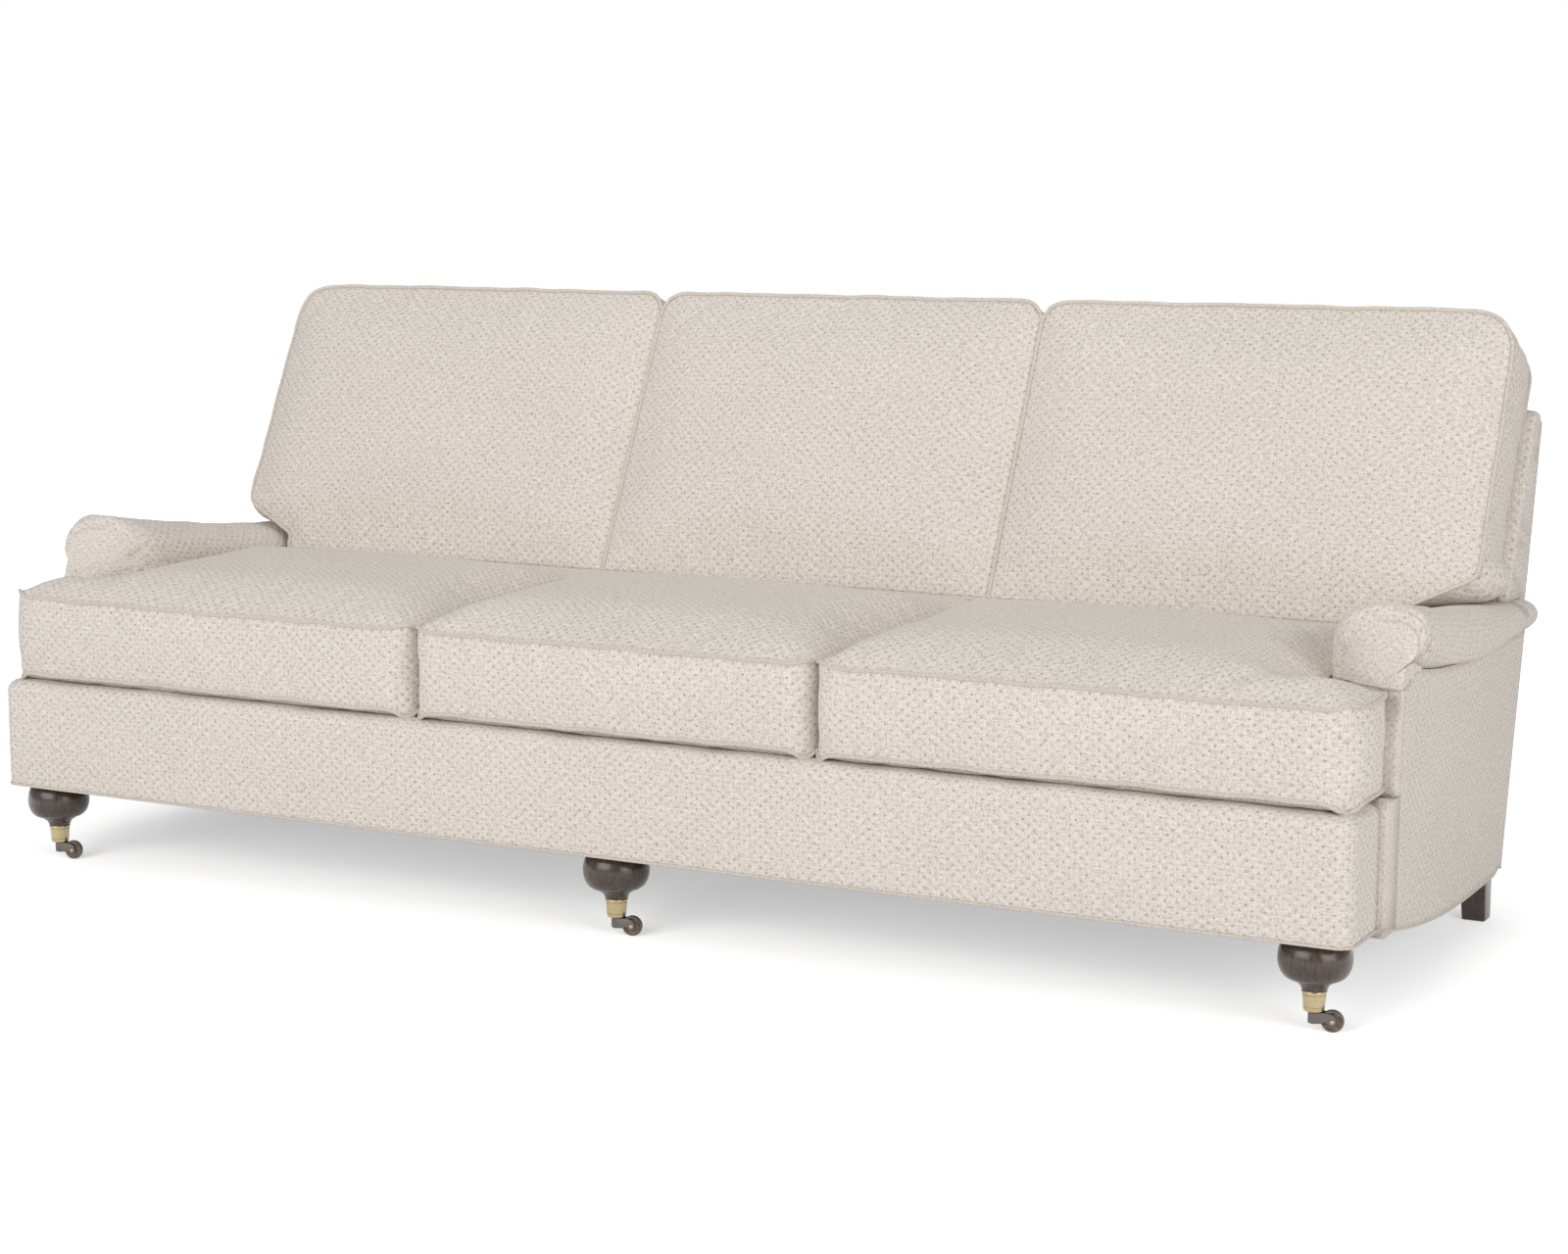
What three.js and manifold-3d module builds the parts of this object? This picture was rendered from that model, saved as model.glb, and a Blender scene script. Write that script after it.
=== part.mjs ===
// English roll arm sofa with loose cushions, turned castor legs and a hardwood frame.
// Millimetres, X along the seat, Y towards the back, Z up. While the pieces are made,
// Y is measured from the face of the front border and Z from the floor.
import * as THREE from 'three';
import { mergeVertices } from 'three/addons/utils/BufferGeometryUtils.js';
import Module from 'manifold-3d';

const wasm = await Module();
wasm.setup();

// Clearance between pieces that touch, and the overrun of every cut
const clearance = 0.3;
const overrun = 5;

// Castor: wheel, axle, horn and the brass cup above it
const wheelRadius = 16.6;
const wheelWidth = 11;
const wheelRound = 3;
const wheelSideClearance = 0.6;
const wheelToBoss = 1.3;
const axleRadius = 2;
const axleLip = 1.2;
const axleHead = 1;
const bossRadius = 8.6;
const bossHeight = 18.2;
const hornPlate = 2.2;
const hornDrop = 1.4;
const hornEyeWall = 4;
const trailTurn = THREE.MathUtils.degToRad(11);
const pintleRadius = 4;
const pintleRise = 7.5;
const cupAboveWheel = 13.4;
const cupHeight = 30.5;
const cupTopRadius = 17.4;
const cupTaper = 2.4;
const cupBead = 1;
const cupBeadHeight = 3;
const cupWall = 1.6;
const cupFloor = 3;

// Turned front legs, from the cup up to the ball
const legInset = 68;
const legSetback = 60;
const legNeckHeight = 13.2;
const legShoulderStep = 9.6;
const legBall = 53.4;
const ballDrop = 33;
const ballRise = 31;
const legTopRadius = 36;
const tenonGap = 1;

// Square rear legs
const rearLegDrop = 43;
const rearLegWidth = 44;
const rearLegTaper = 3;
const rearLegForward = 31;
const rearLegRake = 15;
const rearLegBevel = 3;

// Front border
const borderHalf = 1218;
const borderHeight = 186;
const borderReturn = 126;
const borderPadding = 21.7;
const borderRoll = 20;
const borderLap = 60;
const borderCorner = 26;
const borderHem = 4;

// Timber frame
const railThickness = 26;
const railAboveHem = 3;
const innerRailDepth = 95;
const sideRailThickness = 26;
const stretcherThickness = 34;
const legBlockWidth = 84;
const legBlockDepth = 64;
const legBlockHeight = 60;
const armPostThickness = 30;
const armPostSetback = 6;
const armPostAboveHem = 7;
const armBoardThickness = 18;
const backPostWidth = 44;
const backPostInset = 5;
const backPostGap = 1;
const uprightWidth = 40;
const rearRailHeight = 54;
const rearRailThickness = 26;
const topRailHeight = 28;

// Seat cushions: seams, plan and crown
const cushionGap = 1.2;
const seatSetback = 20;
const seatRearGap = 14;
const seatBoxing = 132;
const seatLift = 14;
const seatRise = 6;
const seatFrontBulge = 7;
const seatSag = 31;
const seatSagReach = 70;
const seatEdgeRise = 22;
const seatEdgeReach = 140;
const seatDome = 26;
const seatCorner = 50;
const seatEarInset = 4;
const earRear = 168;
const earCorner = 14;

// Webbing, deck and dust cover
const webThickness = 3;
const webWidth = 70;
const deckThickness = 20.4;
const dustCoverThickness = 1.5;
const hemLift = 1.2;

// Fixed back: the lean of its face and of its rear, and how thick the wedge is at its foot
const faceLean = THREE.MathUtils.degToRad(26);
const rearLean = THREE.MathUtils.degToRad(14.5);
const faceAboveDeck = 103;
const faceDepth = 763;
const wedgeFoot = 31;
const backRise = 494;
const backOutset = 1;
const backPadThickness = 24;
const backSidePadding = 6;
const backPanelThickness = 6;
const shoulderGap = 9;

// Loose back cushions
const backBoxing = 127;
const backCushionGap = 0.5;
const backFootRise = 7;
const backCushionRise = 499;
const backBulge = 8;
const backEdgeRise = 20;
const backEdgeReach = 120;
const backDome = 24;
const backCorner = 45;
const backOuterCorner = 72;
const backEarInset = 18;
const backFootInset = 9;
const earUnderRoll = 5;
const earClimb = 57;
const backRearRise = 31;
const backFootSettle = 0.8;

// Roll arm
const armWidth = 126;
const armOutset = 10;
const armCapDepth = 84;
const armRise = 282;
const armFall = 88;
const rollHeightFront = 87;
const rollHeightRear = 52;
const rollOverhangFront = 37;
const rollOverhangRear = 22;
const rollReachFront = 60;
const rollReachRear = 32;
const armRearInset = 11.5;
const shoulderDrop = 28;
const shoulderReach = 123;
const armPadThickness = 25;
const armNose = 18;
const capInset = 33;
const capDrop = 24;
const capRecess = 70;
const capRound = 9;
const facingBehindEar = 2.5;
const facingCorner = 16;
const armOutsideFlare = 12;
const panelThickness = 6;
const facingReturn = 62;
const hemDip = 54;
const hemRun = 574;

// Counts of facets
const turnedSides = 20;
const wheelSides = 20;
const axleSides = 12;
const cushionColumns = 12;
const arcSteps = 4;
const cornerSteps = 5;
const plateSteps = 6;

// Shares of the seat's inner width at which the cushions of seat and back meet
const seatJointShare = 0.33425;
const backJointShare = 0.348;

// Levels, from the floor up
const cupFoot = wheelRadius + cupAboveWheel;
const cupTop = cupFoot + cupHeight;
const bossFoot = cupFoot - clearance - bossHeight;
const hornTop = cupFoot - hornDrop;
const pintleTop = cupTop + pintleRise;
const legTenonFoot = cupFoot + cupFloor + tenonGap;
const legNeckLevel = cupTop + clearance;
const legShoulderLevel = legNeckLevel + legNeckHeight;
const legBallLevel = legShoulderLevel + ballDrop;
const borderFoot = legBallLevel + ballRise;
const borderTop = borderFoot + borderHeight;
const deckTop = borderTop;
const deckFoot = deckTop - deckThickness;
const webLevel = deckFoot - clearance - webThickness;
const railTop = webLevel - clearance;
const railFoot = borderFoot + railAboveHem;
const armPostFoot = borderFoot + armPostAboveHem;
const innerRailFoot = railTop - innerRailDepth;
const rearLegTop = borderFoot - rearLegDrop;
const backPostFoot = rearLegTop + clearance;
const hemRear = borderFoot - hemDip;
const seatSeamFront = deckTop + seatBoxing + seatLift;
const seatSeamRear = seatSeamFront + seatRise;
const rollTopFront = deckTop + armRise;
const rollTopRear = rollTopFront - armFall;
const rollUnderFront = rollTopFront - rollHeightFront;
const rollUnderRear = rollTopRear - rollHeightRear;
const capFoot = rollUnderFront - capDrop;
const shoulderLevel = rollTopRear + shoulderGap;
const earLow = rollTopRear - earUnderRoll;
const earHigh = earLow + earClimb;
const backSeatLevel = seatSeamRear + backFootRise;
const backSeamTop = backSeatLevel + backCushionRise;
const backTop = deckTop + backRise;

// Places across the sofa, from its middle out
const insideArm = borderHalf - armWidth;
const armOutside = borderHalf + armOutset;
const seatJoint = insideArm * seatJointShare;
const backJoint = insideArm * backJointShare;
const earHalf = borderHalf - seatEarInset;
const backHalf = borderHalf + backOutset;
const backOuterHalf = borderHalf - backEarInset;
const backInnerHalf = insideArm - backFootInset;
const capInside = insideArm + capInset;
const rollOuterFront = armOutside + rollOverhangFront;
const rollOuterRear = armOutside + rollOverhangRear;
const legSpread = borderHalf - legInset;
const postOuter = backHalf - backSidePadding - backPostGap;
const postInner = postOuter - backPostWidth;

// Face and rear planes of the fixed back at a level
const faceLevel = deckTop + faceAboveDeck;
const rearDepth = faceDepth + wedgeFoot;
const faceAt = (z) => faceDepth + (z - faceLevel) * Math.tan(faceLean);
const rearAt = (z) => rearDepth + z * Math.tan(rearLean);

// Places from front to back
const facingFront = earRear + facingBehindEar;
const panelFront = borderReturn + facingReturn;
const armFront = earRear + 2 * clearance;
const armPadFront = armFront + armCapDepth + clearance;
const facingRear = armPadFront - clearance;
const armRear = rearAt(rollUnderRear) - armRearInset;
const armPostFront = armPadFront + armPostSetback;
const armPostRear = armPostFront + armPostThickness;
const railFront = borderPadding + clearance;
const railRear = railFront + railThickness;
const seatRear = faceAt(seatSeamRear - seatBoxing) - seatRearGap;
const backSeatDepth = faceAt(backSeatLevel) - (backBoxing + backCushionGap) / Math.cos(faceLean);
const backPostFront = faceAt(deckTop) + backPadThickness + backPostInset;
const rearLegSetback = rearDepth - rearLegForward;

// Castor and leg sizes that follow from the ones above
const trail = bossRadius + wheelToBoss + wheelRadius;
const hornEye = axleRadius + hornEyeWall;
const axleHeadRadius = axleRadius + axleLip;
const cupFootRadius = cupTopRadius - cupTaper;
const legShoulder = cupTopRadius + legShoulderStep;

// Finishes
const fabric = { color: 0xddd5cc, roughness: 0.95, metalness: 0 };
const timber = { color: 0xb99a6b, roughness: 0.8, metalness: 0 };
const espresso = { color: 0x43362f, roughness: 0.35, metalness: 0 };
const brass = { color: 0x8f7646, roughness: 0.4, metalness: 0.9 };
const ironware = { color: 0x2e2724, roughness: 0.5, metalness: 0.6 };
const webbing = { color: 0x9b8a6c, roughness: 0.95, metalness: 0 };
const cambric = { color: 0x1f1f20, roughness: 0.9, metalness: 0 };

const sofa = new THREE.Group();

// A named mesh placed in a parent, with its own material
function place(name, geometry, finish, parent = sofa) {
  const mesh = new THREE.Mesh(geometry, new THREE.MeshStandardMaterial(finish));
  mesh.name = name;
  parent.add(mesh);
  return mesh;
}

// Solid for a join or a cut, from any closed geometry
function solidOf(geometry) {
  const bare = geometry.clone();
  bare.deleteAttribute('normal');
  bare.deleteAttribute('uv');
  const merged = mergeVertices(bare, 1e-4);
  return new wasm.Manifold(new wasm.Mesh({
    numProp: 3,
    vertProperties: new Float32Array(merged.attributes.position.array),
    triVerts: new Uint32Array(merged.index.array),
  }));
}

// Geometry from a joined or cut solid
function geometryOf(solid) {
  const mesh = solid.getMesh();
  const geometry = new THREE.BufferGeometry();
  geometry.setAttribute('position', new THREE.BufferAttribute(mesh.vertProperties, 3));
  geometry.setIndex(new THREE.BufferAttribute(mesh.triVerts, 1));
  return geometry;
}

function joined(...geometries) {
  return geometryOf(geometries.map(solidOf).reduce((sum, next) => sum.add(next)));
}

function cut(geometry, ...tools) {
  return geometryOf(tools.map(solidOf).reduce((rest, tool) => rest.subtract(tool), solidOf(geometry)));
}

// Triangles that close a ring of points, each wound like the ring itself
function capTriangles(ring) {
  const normal = new THREE.Vector3();
  ring.forEach((point, i) => {
    normal.add(new THREE.Vector3().crossVectors(point, ring[(i + 1) % ring.length]));
  });
  normal.normalize();
  const across = new THREE.Vector3(normal.y, normal.z, normal.x).cross(normal).normalize();
  const up = new THREE.Vector3().crossVectors(normal, across);
  const flat = ring.map((point) => new THREE.Vector2(point.dot(across), point.dot(up)));
  return THREE.ShapeUtils.triangulateShape(flat, []).map(([a, b, c]) => {
    const turn = flat[b].clone().sub(flat[a]).cross(flat[c].clone().sub(flat[a]));
    return turn > 0 ? [a, b, c] : [a, c, b];
  });
}

// Triangles that close a ring made of two matched rows, the second one running back
function stripTriangles(ring) {
  const last = ring.length - 1;
  const triangles = [];
  for (let i = 0; i + 1 < ring.length / 2; i += 1) {
    triangles.push([i, i + 1, last - i - 1], [i, last - i - 1, last - i]);
  }
  return triangles;
}

// Closed skin through rings of equal count, from the first ring's cap to the last one's
function loft(rings, closeRing = capTriangles) {
  const count = rings[0].length;
  const triangles = [];
  for (let row = 0; row + 1 < rings.length; row += 1) {
    for (let i = 0; i < count; i += 1) {
      const here = row * count + i;
      const next = row * count + ((i + 1) % count);
      triangles.push([here, next, next + count], [here, next + count, here + count]);
    }
  }
  const last = (rings.length - 1) * count;
  closeRing(rings[0]).forEach(([a, b, c]) => triangles.push([a, c, b]));
  closeRing(rings.at(-1)).forEach(([a, b, c]) => triangles.push([last + a, last + b, last + c]));
  const points = rings.flat();
  const volume = triangles.reduce(
    (sum, [a, b, c]) => sum + points[a].dot(new THREE.Vector3().crossVectors(points[b], points[c])), 0);
  const facing = volume > 0 ? triangles : triangles.map(([a, b, c]) => [a, c, b]);
  const geometry = new THREE.BufferGeometry().setFromPoints(points);
  geometry.setIndex(facing.flat());
  return geometry;
}

// Block between two corners
function block([x0, y0, z0], [x1, y1, z1]) {
  const box = new THREE.BoxGeometry(x1 - x0, y1 - y0, z1 - z0);
  return box.translate((x0 + x1) / 2, (y0 + y1) / 2, (z0 + z1) / 2);
}

// Board with an outline in the Y and Z plane, running from x0 to x1
function board(outline, x0, x1) {
  const shape = new THREE.Shape(outline.map(([y, z]) => new THREE.Vector2(y, z)));
  const flat = new THREE.ExtrudeGeometry(shape, { depth: x1 - x0, bevelEnabled: false });
  return flat.rotateY(Math.PI / 2).rotateX(Math.PI / 2).translate(x0, 0, 0);
}

// Mirror image across the middle of the sofa
function mirrored(geometry) {
  const image = geometry.clone().scale(-1, 1, 1);
  const plain = image.index ? image : mergeVertices(image);
  const index = Array.from(plain.index.array);
  for (let i = 0; i < index.length; i += 3) {
    [index[i + 1], index[i + 2]] = [index[i + 2], index[i + 1]];
  }
  plain.setIndex(index);
  return plain;
}

// The same piece on the right and, mirrored, on the left
function placePair(name, geometry, finish) {
  place(`right_${name}`, geometry, finish);
  place(`left_${name}`, mirrored(geometry), finish);
}

const mix = THREE.MathUtils.lerp;
const clamp = THREE.MathUtils.clamp;

// Ease that rises at once from an edge and levels out at its reach
function edgeEase(distance, reach) {
  const left = 1 - clamp(distance / reach, 0, 1);
  return 1 - left * left;
}

// Steps from 0 to 1 that crowd towards both ends
function crowdedSteps(count) {
  return Array.from({ length: count + 1 }, (_, i) => (1 - Math.cos((Math.PI * i) / count)) / 2);
}

// Shares that bend the hem and the roll arm's two lines in side view
const hemBendShare = 2.2;
const topBendShare = 1.6;
const underBendShare = 4;

// Lower edge of the outside arm, which dips towards the rear
function hemAt(y) {
  const left = 1 - clamp((y - borderReturn) / hemRun, 0, 1);
  return hemRear + (borderFoot - hemRear) * left ** hemBendShare;
}

// Stations at which the pieces that follow the hem change slope
const hemShares = [0, 0.08, 0.17, 0.28, 0.42, 0.6, 0.8, 1];
const hemStations = hemShares.map((share) => borderReturn + hemRun * share);

// Outline along the hem from one depth to another, lifted above it
function hemLine(from, to, lift) {
  const between = hemStations.filter((y) => y > from + clearance && y < to - clearance);
  const chord = (y) => {
    const next = hemStations.findIndex((station) => station >= y);
    if (next <= 0) {
      return hemAt(y);
    }
    const [a, b] = [hemStations[next - 1], hemStations[next]];
    return mix(hemAt(a), hemAt(b), (y - a) / (b - a));
  };
  return [from, ...between, to].map((y) => [y, chord(y) + lift]);
}

// Section lines of the roll arm along its run
function rollAt(y) {
  const run = clamp((y - armFront) / (armRear - armFront), 0, 1);
  const top = mix(rollTopRear, rollTopFront, (1 - run) ** topBendShare);
  const under = mix(rollUnderRear, rollUnderFront, (1 - run) ** underBendShare);
  const outer = mix(rollOuterFront, rollOuterRear, run * run);
  const reach = mix(rollReachFront, rollReachRear, run);
  const centre = (top + under) / 2;
  return { top, under, outer, reach, centre, half: (top - under) / 2, axis: outer - reach };
}

const sideRailOuter = borderHalf - railFront;
const sideRailInner = sideRailOuter - sideRailThickness;
const backRailFront = backPostFront - clearance - sideRailThickness;
const stretcherRear = backRailFront - clearance;
const topRailTop = backTop - borderRoll;
const topRailFoot = topRailTop - topRailHeight;
const postPadding = backPadThickness + clearance;

// Timber frame

// Outline of a back post, or of an upright that starts at a given level
function backTimber(foot) {
  const rearFace = (z) => rearAt(z) - backPanelThickness - clearance;
  const knee = Math.max(foot, innerRailFoot);
  const bend = faceLevel + (backPostFront - postPadding - faceDepth) / Math.tan(faceLean);
  const head = topRailFoot - clearance;
  const footFront = foot < innerRailFoot ? rearLegSetback : backPostFront;
  const outline = [[footFront, foot]];
  if (foot < innerRailFoot) {
    outline.push([backPostFront, knee]);
  }
  outline.push([backPostFront, bend], [faceAt(head) + postPadding, head]);
  outline.push([rearFace(head), head], [rearFace(foot), foot]);
  return outline;
}

function buildFrame() {
  place('front_rail', block([-sideRailOuter, railFront, railFoot],
    [sideRailOuter, railRear, railTop]), timber);
  const sideFront = railRear + clearance;
  const sideRear = backPostFront - clearance;
  const sideOutline = [...hemLine(sideFront, sideRear, hemLift + dustCoverThickness + clearance),
    [sideRear, railTop], [sideFront, railTop]];
  placePair('side_rail', board(sideOutline, sideRailInner, sideRailOuter), timber);
  const innerHalf = sideRailInner - clearance;
  place('back_rail', block([-innerHalf, backRailFront, innerRailFoot],
    [innerHalf, backPostFront - clearance, railTop]), timber);
  place('rear_bottom_rail', block([-postInner + clearance, rearLegSetback, backPostFoot],
    [postInner - clearance, rearLegSetback + rearRailThickness, backPostFoot + rearRailHeight]), timber);
  placePair('seat_stretcher', block([seatJoint - stretcherThickness / 2, railRear + clearance, innerRailFoot],
    [seatJoint + stretcherThickness / 2, stretcherRear, railTop]), timber);
  placePair('back_post', board(backTimber(backPostFoot), postInner, postOuter), timber);
  const uprightFoot = backPostFoot + rearRailHeight + clearance;
  placePair('back_upright', board(backTimber(uprightFoot), backJoint - uprightWidth / 2,
    backJoint + uprightWidth / 2), timber);
  const railBack = (z) => rearAt(z) - backPanelThickness - clearance;
  const topOutline = [
    [faceAt(topRailFoot) + postPadding, topRailFoot], [railBack(topRailFoot), topRailFoot],
    [railBack(topRailTop), topRailTop], [faceAt(topRailTop) + postPadding, topRailTop]];
  place('top_back_rail', board(topOutline, -postOuter, postOuter), timber);
}

// Blocks behind the front rail that take the three front legs
function buildLegBlocks() {
  const end = sideRailInner - clearance - legBlockWidth / 2;
  const front = railRear + clearance;
  Object.entries({ left: -end, centre: 0, right: end }).forEach(([side, x]) => {
    place(`${side}_leg_block`, block([x - legBlockWidth / 2, front, railFoot],
      [x + legBlockWidth / 2, front + legBlockDepth, railFoot + legBlockHeight]), timber);
  });
}

// Arm posts behind the facings, and the sloping boards that they carry
function buildArmTimber() {
  const postOuterFace = sideRailInner - clearance;
  const soffit = (y) => rollAt(y).centre - armBoardThickness / 2 - clearance;
  const post = [[armPostFront, armPostFoot], [armPostRear, armPostFoot],
    [armPostRear, soffit(armPostRear)], [armPostFront, soffit(armPostFront)]];
  placePair('arm_post', board(post, boardInner, postOuterFace), timber);
  const stations = [...armStations.slice(0, -1), armStations.at(-1) - overrun];
  const upper = stations.map((y) => [y, rollAt(y).centre + armBoardThickness / 2]);
  const lower = stations.map((y) => [y, rollAt(y).centre - armBoardThickness / 2]);
  placePair('arm_board', board([...lower, ...upper.reverse()], boardInner, boardOuter), timber);
}

// Stations of the arm pad and its board, from the roll's front end to the back post
const armShares = [0, 0.04, 0.1, 0.2, 0.32, 0.46, 0.62, 0.8, 1];
const armPadRear = faceAt(rollAt(armRear).centre) + backPadThickness;
const armStations = armShares.map((share) => mix(armPadFront, armPadRear, share));
const boardInner = insideArm + armPadThickness + clearance;
const boardOuter = armOutside - panelThickness + overrun;

// Webbing: straps from front to back, held level by straps that cross them
const strapCount = 5;
const crossCount = 3;

function webPanel(x0, x1, strapEnd, crossFront) {
  const straps = [];
  const top = deckFoot - clearance;
  const pitch = (strapEnd - x0) / strapCount;
  for (let i = 0; i < strapCount; i += 1) {
    const middle = x0 + pitch * (i + 1 / 2);
    straps.push(block([middle - webWidth / 2, railFront + clearance, webLevel],
      [middle + webWidth / 2, backPostFront - 2 * clearance, top]));
  }
  const crossPitch = (stretcherRear - crossFront) / crossCount;
  for (let i = 0; i < crossCount; i += 1) {
    const middle = crossFront + crossPitch * (i + 1 / 2);
    straps.push(block([x0, middle - webWidth / 2, webLevel], [x1, middle + webWidth / 2, top]));
  }
  return joined(...straps);
}

function buildSuspension() {
  const crossFront = armPostRear + overrun;
  const side = webPanel(seatJoint + clearance, sideRailOuter - overrun, insideArm, crossFront);
  placePair('seat_webbing', side, webbing);
  const inner = seatJoint - clearance;
  place('middle_seat_webbing', webPanel(-inner, inner, inner, crossFront), webbing);
}

// Padded deck under the cushions, wider in front where the ears lie and the arm facings stand
function buildDeck() {
  const lap = borderLap + clearance;
  const half = borderHalf - lap;
  const inside = insideArm - clearance;
  const step = borderReturn + clearance;
  const turn = facingRear;
  const rear = backPostFront - clearance;
  const right = [[half, lap], [half, step], [sideRailOuter, step], [sideRailOuter, turn],
    [inside, turn], [inside, rear]];
  const corners = [...right, ...right.map(([x, y]) => [-x, y]).reverse()];
  const outline = new THREE.Shape(corners.map(([x, y]) => new THREE.Vector2(x, y)));
  const deck = new THREE.ExtrudeGeometry(outline, { depth: deckThickness, bevelEnabled: false });
  place('deck_pad', deck.translate(0, 0, deckFoot), fabric);
  const coverFront = railRear + legBlockDepth + overrun;
  const coverRear = rearLegSetback - overrun;
  const under = hemLine(coverFront, coverRear, hemLift);
  const over = hemLine(coverFront, coverRear, hemLift + dustCoverThickness).reverse();
  place('dust_cover', board([...under, ...over], -sideRailOuter, sideRailOuter), cambric);
}

// Front border: one padded band that turns both front corners

// Shares of a quarter turn at which rounded edges have their points
const quarterShares = [0, 0.25, 0.5, 0.75, 1];

// Plan line of the border, set in from its outer face
function borderLine(inset) {
  const round = Math.max(borderCorner * (1 - inset / borderPadding), clearance);
  const half = borderHalf - inset;
  const turns = quarterShares.map((share) => (share * Math.PI) / 2);
  const right = turns.map((turn) => [
    half - round + round * Math.sin(turn), inset + round - round * Math.cos(turn)]);
  const left = right.map(([x, y]) => [-x, y]).reverse();
  return [[-half, borderReturn], ...left, ...right, [half, borderReturn]];
}

function buildBorder() {
  const turns = quarterShares.map((share) => (share * Math.PI) / 2);
  const section = [
    [borderPadding, borderFoot], [borderHem, borderFoot], [0, borderFoot + borderHem],
    ...turns.map((turn) => [
      borderRoll * (1 - Math.cos(turn)), borderTop - borderRoll * (1 - Math.sin(turn))]),
    [borderLap, borderTop], [borderLap, deckFoot], [borderPadding, deckFoot]];
  const lines = section.map(([inset, z]) => borderLine(inset).map(([x, y]) => new THREE.Vector3(x, y, z)));
  const stations = lines[0].map((_, i) => lines.map((line) => line[i]));
  place('front_border', loft(stations), fabric);
}

// Roll arms

// Share that makes the shoulder between inside arm and roll fuller than a plain ellipse
const fullShare = 0.7;

// Shares of a quarter turn at the points of the shoulder, the roll, its rear stub and its front cap
const shoulderShares = [0.22, 0.42, 0.62, 0.82, 1];
const rollShares = [0.2, 0.4, 0.6, 0.8, 1, 1.2, 1.4, 1.62];
const stubShares = [0.2, 0.4, 0.6, 0.8, 1, 1.2, 1.4, 1.6, 1.8];
const capShares = [0.1, 0.3, 0.5, 0.7, 0.9, 1.1, 1.3, 1.5, 1.7, 1.9, 2.1, 2.3];

// Section of the arm pad at a station: inside face, shoulder, roll and the hollow for the timber
function armSection(y, inner) {
  const roll = rollAt(y);
  const shoulder = roll.centre - shoulderDrop;
  const crest = Math.min(insideArm + shoulderReach, roll.axis);
  const points = [[inner, deckFoot], [inner, shoulder]];
  shoulderShares.forEach((share) => {
    const turn = (share * Math.PI) / 2;
    points.push([mix(crest, inner, Math.cos(turn) ** fullShare),
      mix(shoulder, roll.top, Math.sin(turn) ** fullShare)]);
  });
  rollShares.forEach((share) => {
    const turn = (share * Math.PI) / 2;
    points.push([roll.axis + roll.reach * Math.sin(turn), roll.centre + roll.half * Math.cos(turn)]);
  });
  const hollow = boardInner - clearance;
  const hollowOuter = boardOuter + clearance;
  const crown = roll.centre + armBoardThickness / 2 + clearance;
  points.push([hollowOuter + clearance, roll.under + clearance], [hollowOuter, crown], [hollow, crown]);
  points.push([hollow, deckFoot]);
  return points.map(([x, z]) => new THREE.Vector3(x, y, z));
}

// Rear stub of the roll, outboard of the back post
function rollStub(y, round) {
  const roll = rollAt(y);
  const inner = postOuter + clearance;
  const points = [];
  stubShares.forEach((share) => {
    const turn = (share * Math.PI) / 2;
    points.push([mix(inner, roll.outer - round, Math.sin(turn)),
      roll.centre + (roll.half - round) * Math.cos(turn)]);
  });
  return [[inner, roll.centre + roll.half - round], ...points, [inner, roll.centre - roll.half + round]]
    .map(([x, z]) => new THREE.Vector3(x, y, z));
}

// Shares by which the roll's front end is drawn in at its face and just behind it
const capDrawShares = [0.14, 0.06];

// Outline of the roll's front end, with the roll's section as it is at a depth
function capOutline(depth) {
  const roll = rollAt(depth);
  const round = roll.top - roll.centre;
  const points = [[capInside + overrun, capFoot], [capInside, roll.centre - round / 2]];
  capShares.forEach((part) => {
    const turn = (part * Math.PI) / 2;
    const reach = turn < Math.PI / 2 ? roll.axis - capInside : roll.reach;
    points.push([roll.axis - reach * Math.cos(turn), roll.centre + roll.half * Math.sin(turn)]);
  });
  points.push([armOutside + overrun, roll.under + overrun / 2]);
  points.push([armOutside, (capFoot + roll.under) / 2], [armOutside - clearance, capFoot]);
  return points;
}

// Ring of the roll's front end, drawn in by a share and leaning back upwards and inwards
function capSection(y, share, recess) {
  const { top, outer } = rollAt(y);
  const depths = capOutline(y).map(([x, z]) => {
    const low = clamp((top - z) / (top - capFoot), 0, 1);
    const out = clamp((x - capInside) / (outer - capInside), 0, 1);
    return y + recess * (1 - low * out);
  });
  return depths.map((depth, i) => {
    const [x, z] = capOutline(depth)[i];
    const { axis, top: crest } = rollAt(depth);
    return new THREE.Vector3(mix(x, axis, share), depth, mix(z, (capFoot + crest) / 2, share));
  });
}

// Shares by which the arm's inside face is drawn in at its first stations
const noseShares = [1, 0.4, 0.1];

function buildArms() {
  const rings = armStations.map((y, i) => armSection(y, insideArm + armNose * (noseShares[i] ?? 0)));
  placePair('arm_pad', loft(rings), fabric);
  const stubRun = armPadRear + clearance;
  const stub = [rollStub(stubRun, 0), rollStub((stubRun + armRear) / 2, 0), rollStub(armRear - capRound, 0),
    rollStub(armRear - capRound / 3, capRound / 3), rollStub(armRear, capRound)];
  placePair('arm_roll_end', loft(stub), fabric);
  const [deepShare, slightShare] = capDrawShares;
  const cap = [capSection(armFront, deepShare, capRecess),
    capSection(armFront + capRound / 4, slightShare, capRecess),
    capSection(armFront + capRound, 0, capRecess), capSection(armPadFront - clearance, 0, 0)];
  placePair('arm_cap', loft(cap), fabric);
}

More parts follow.
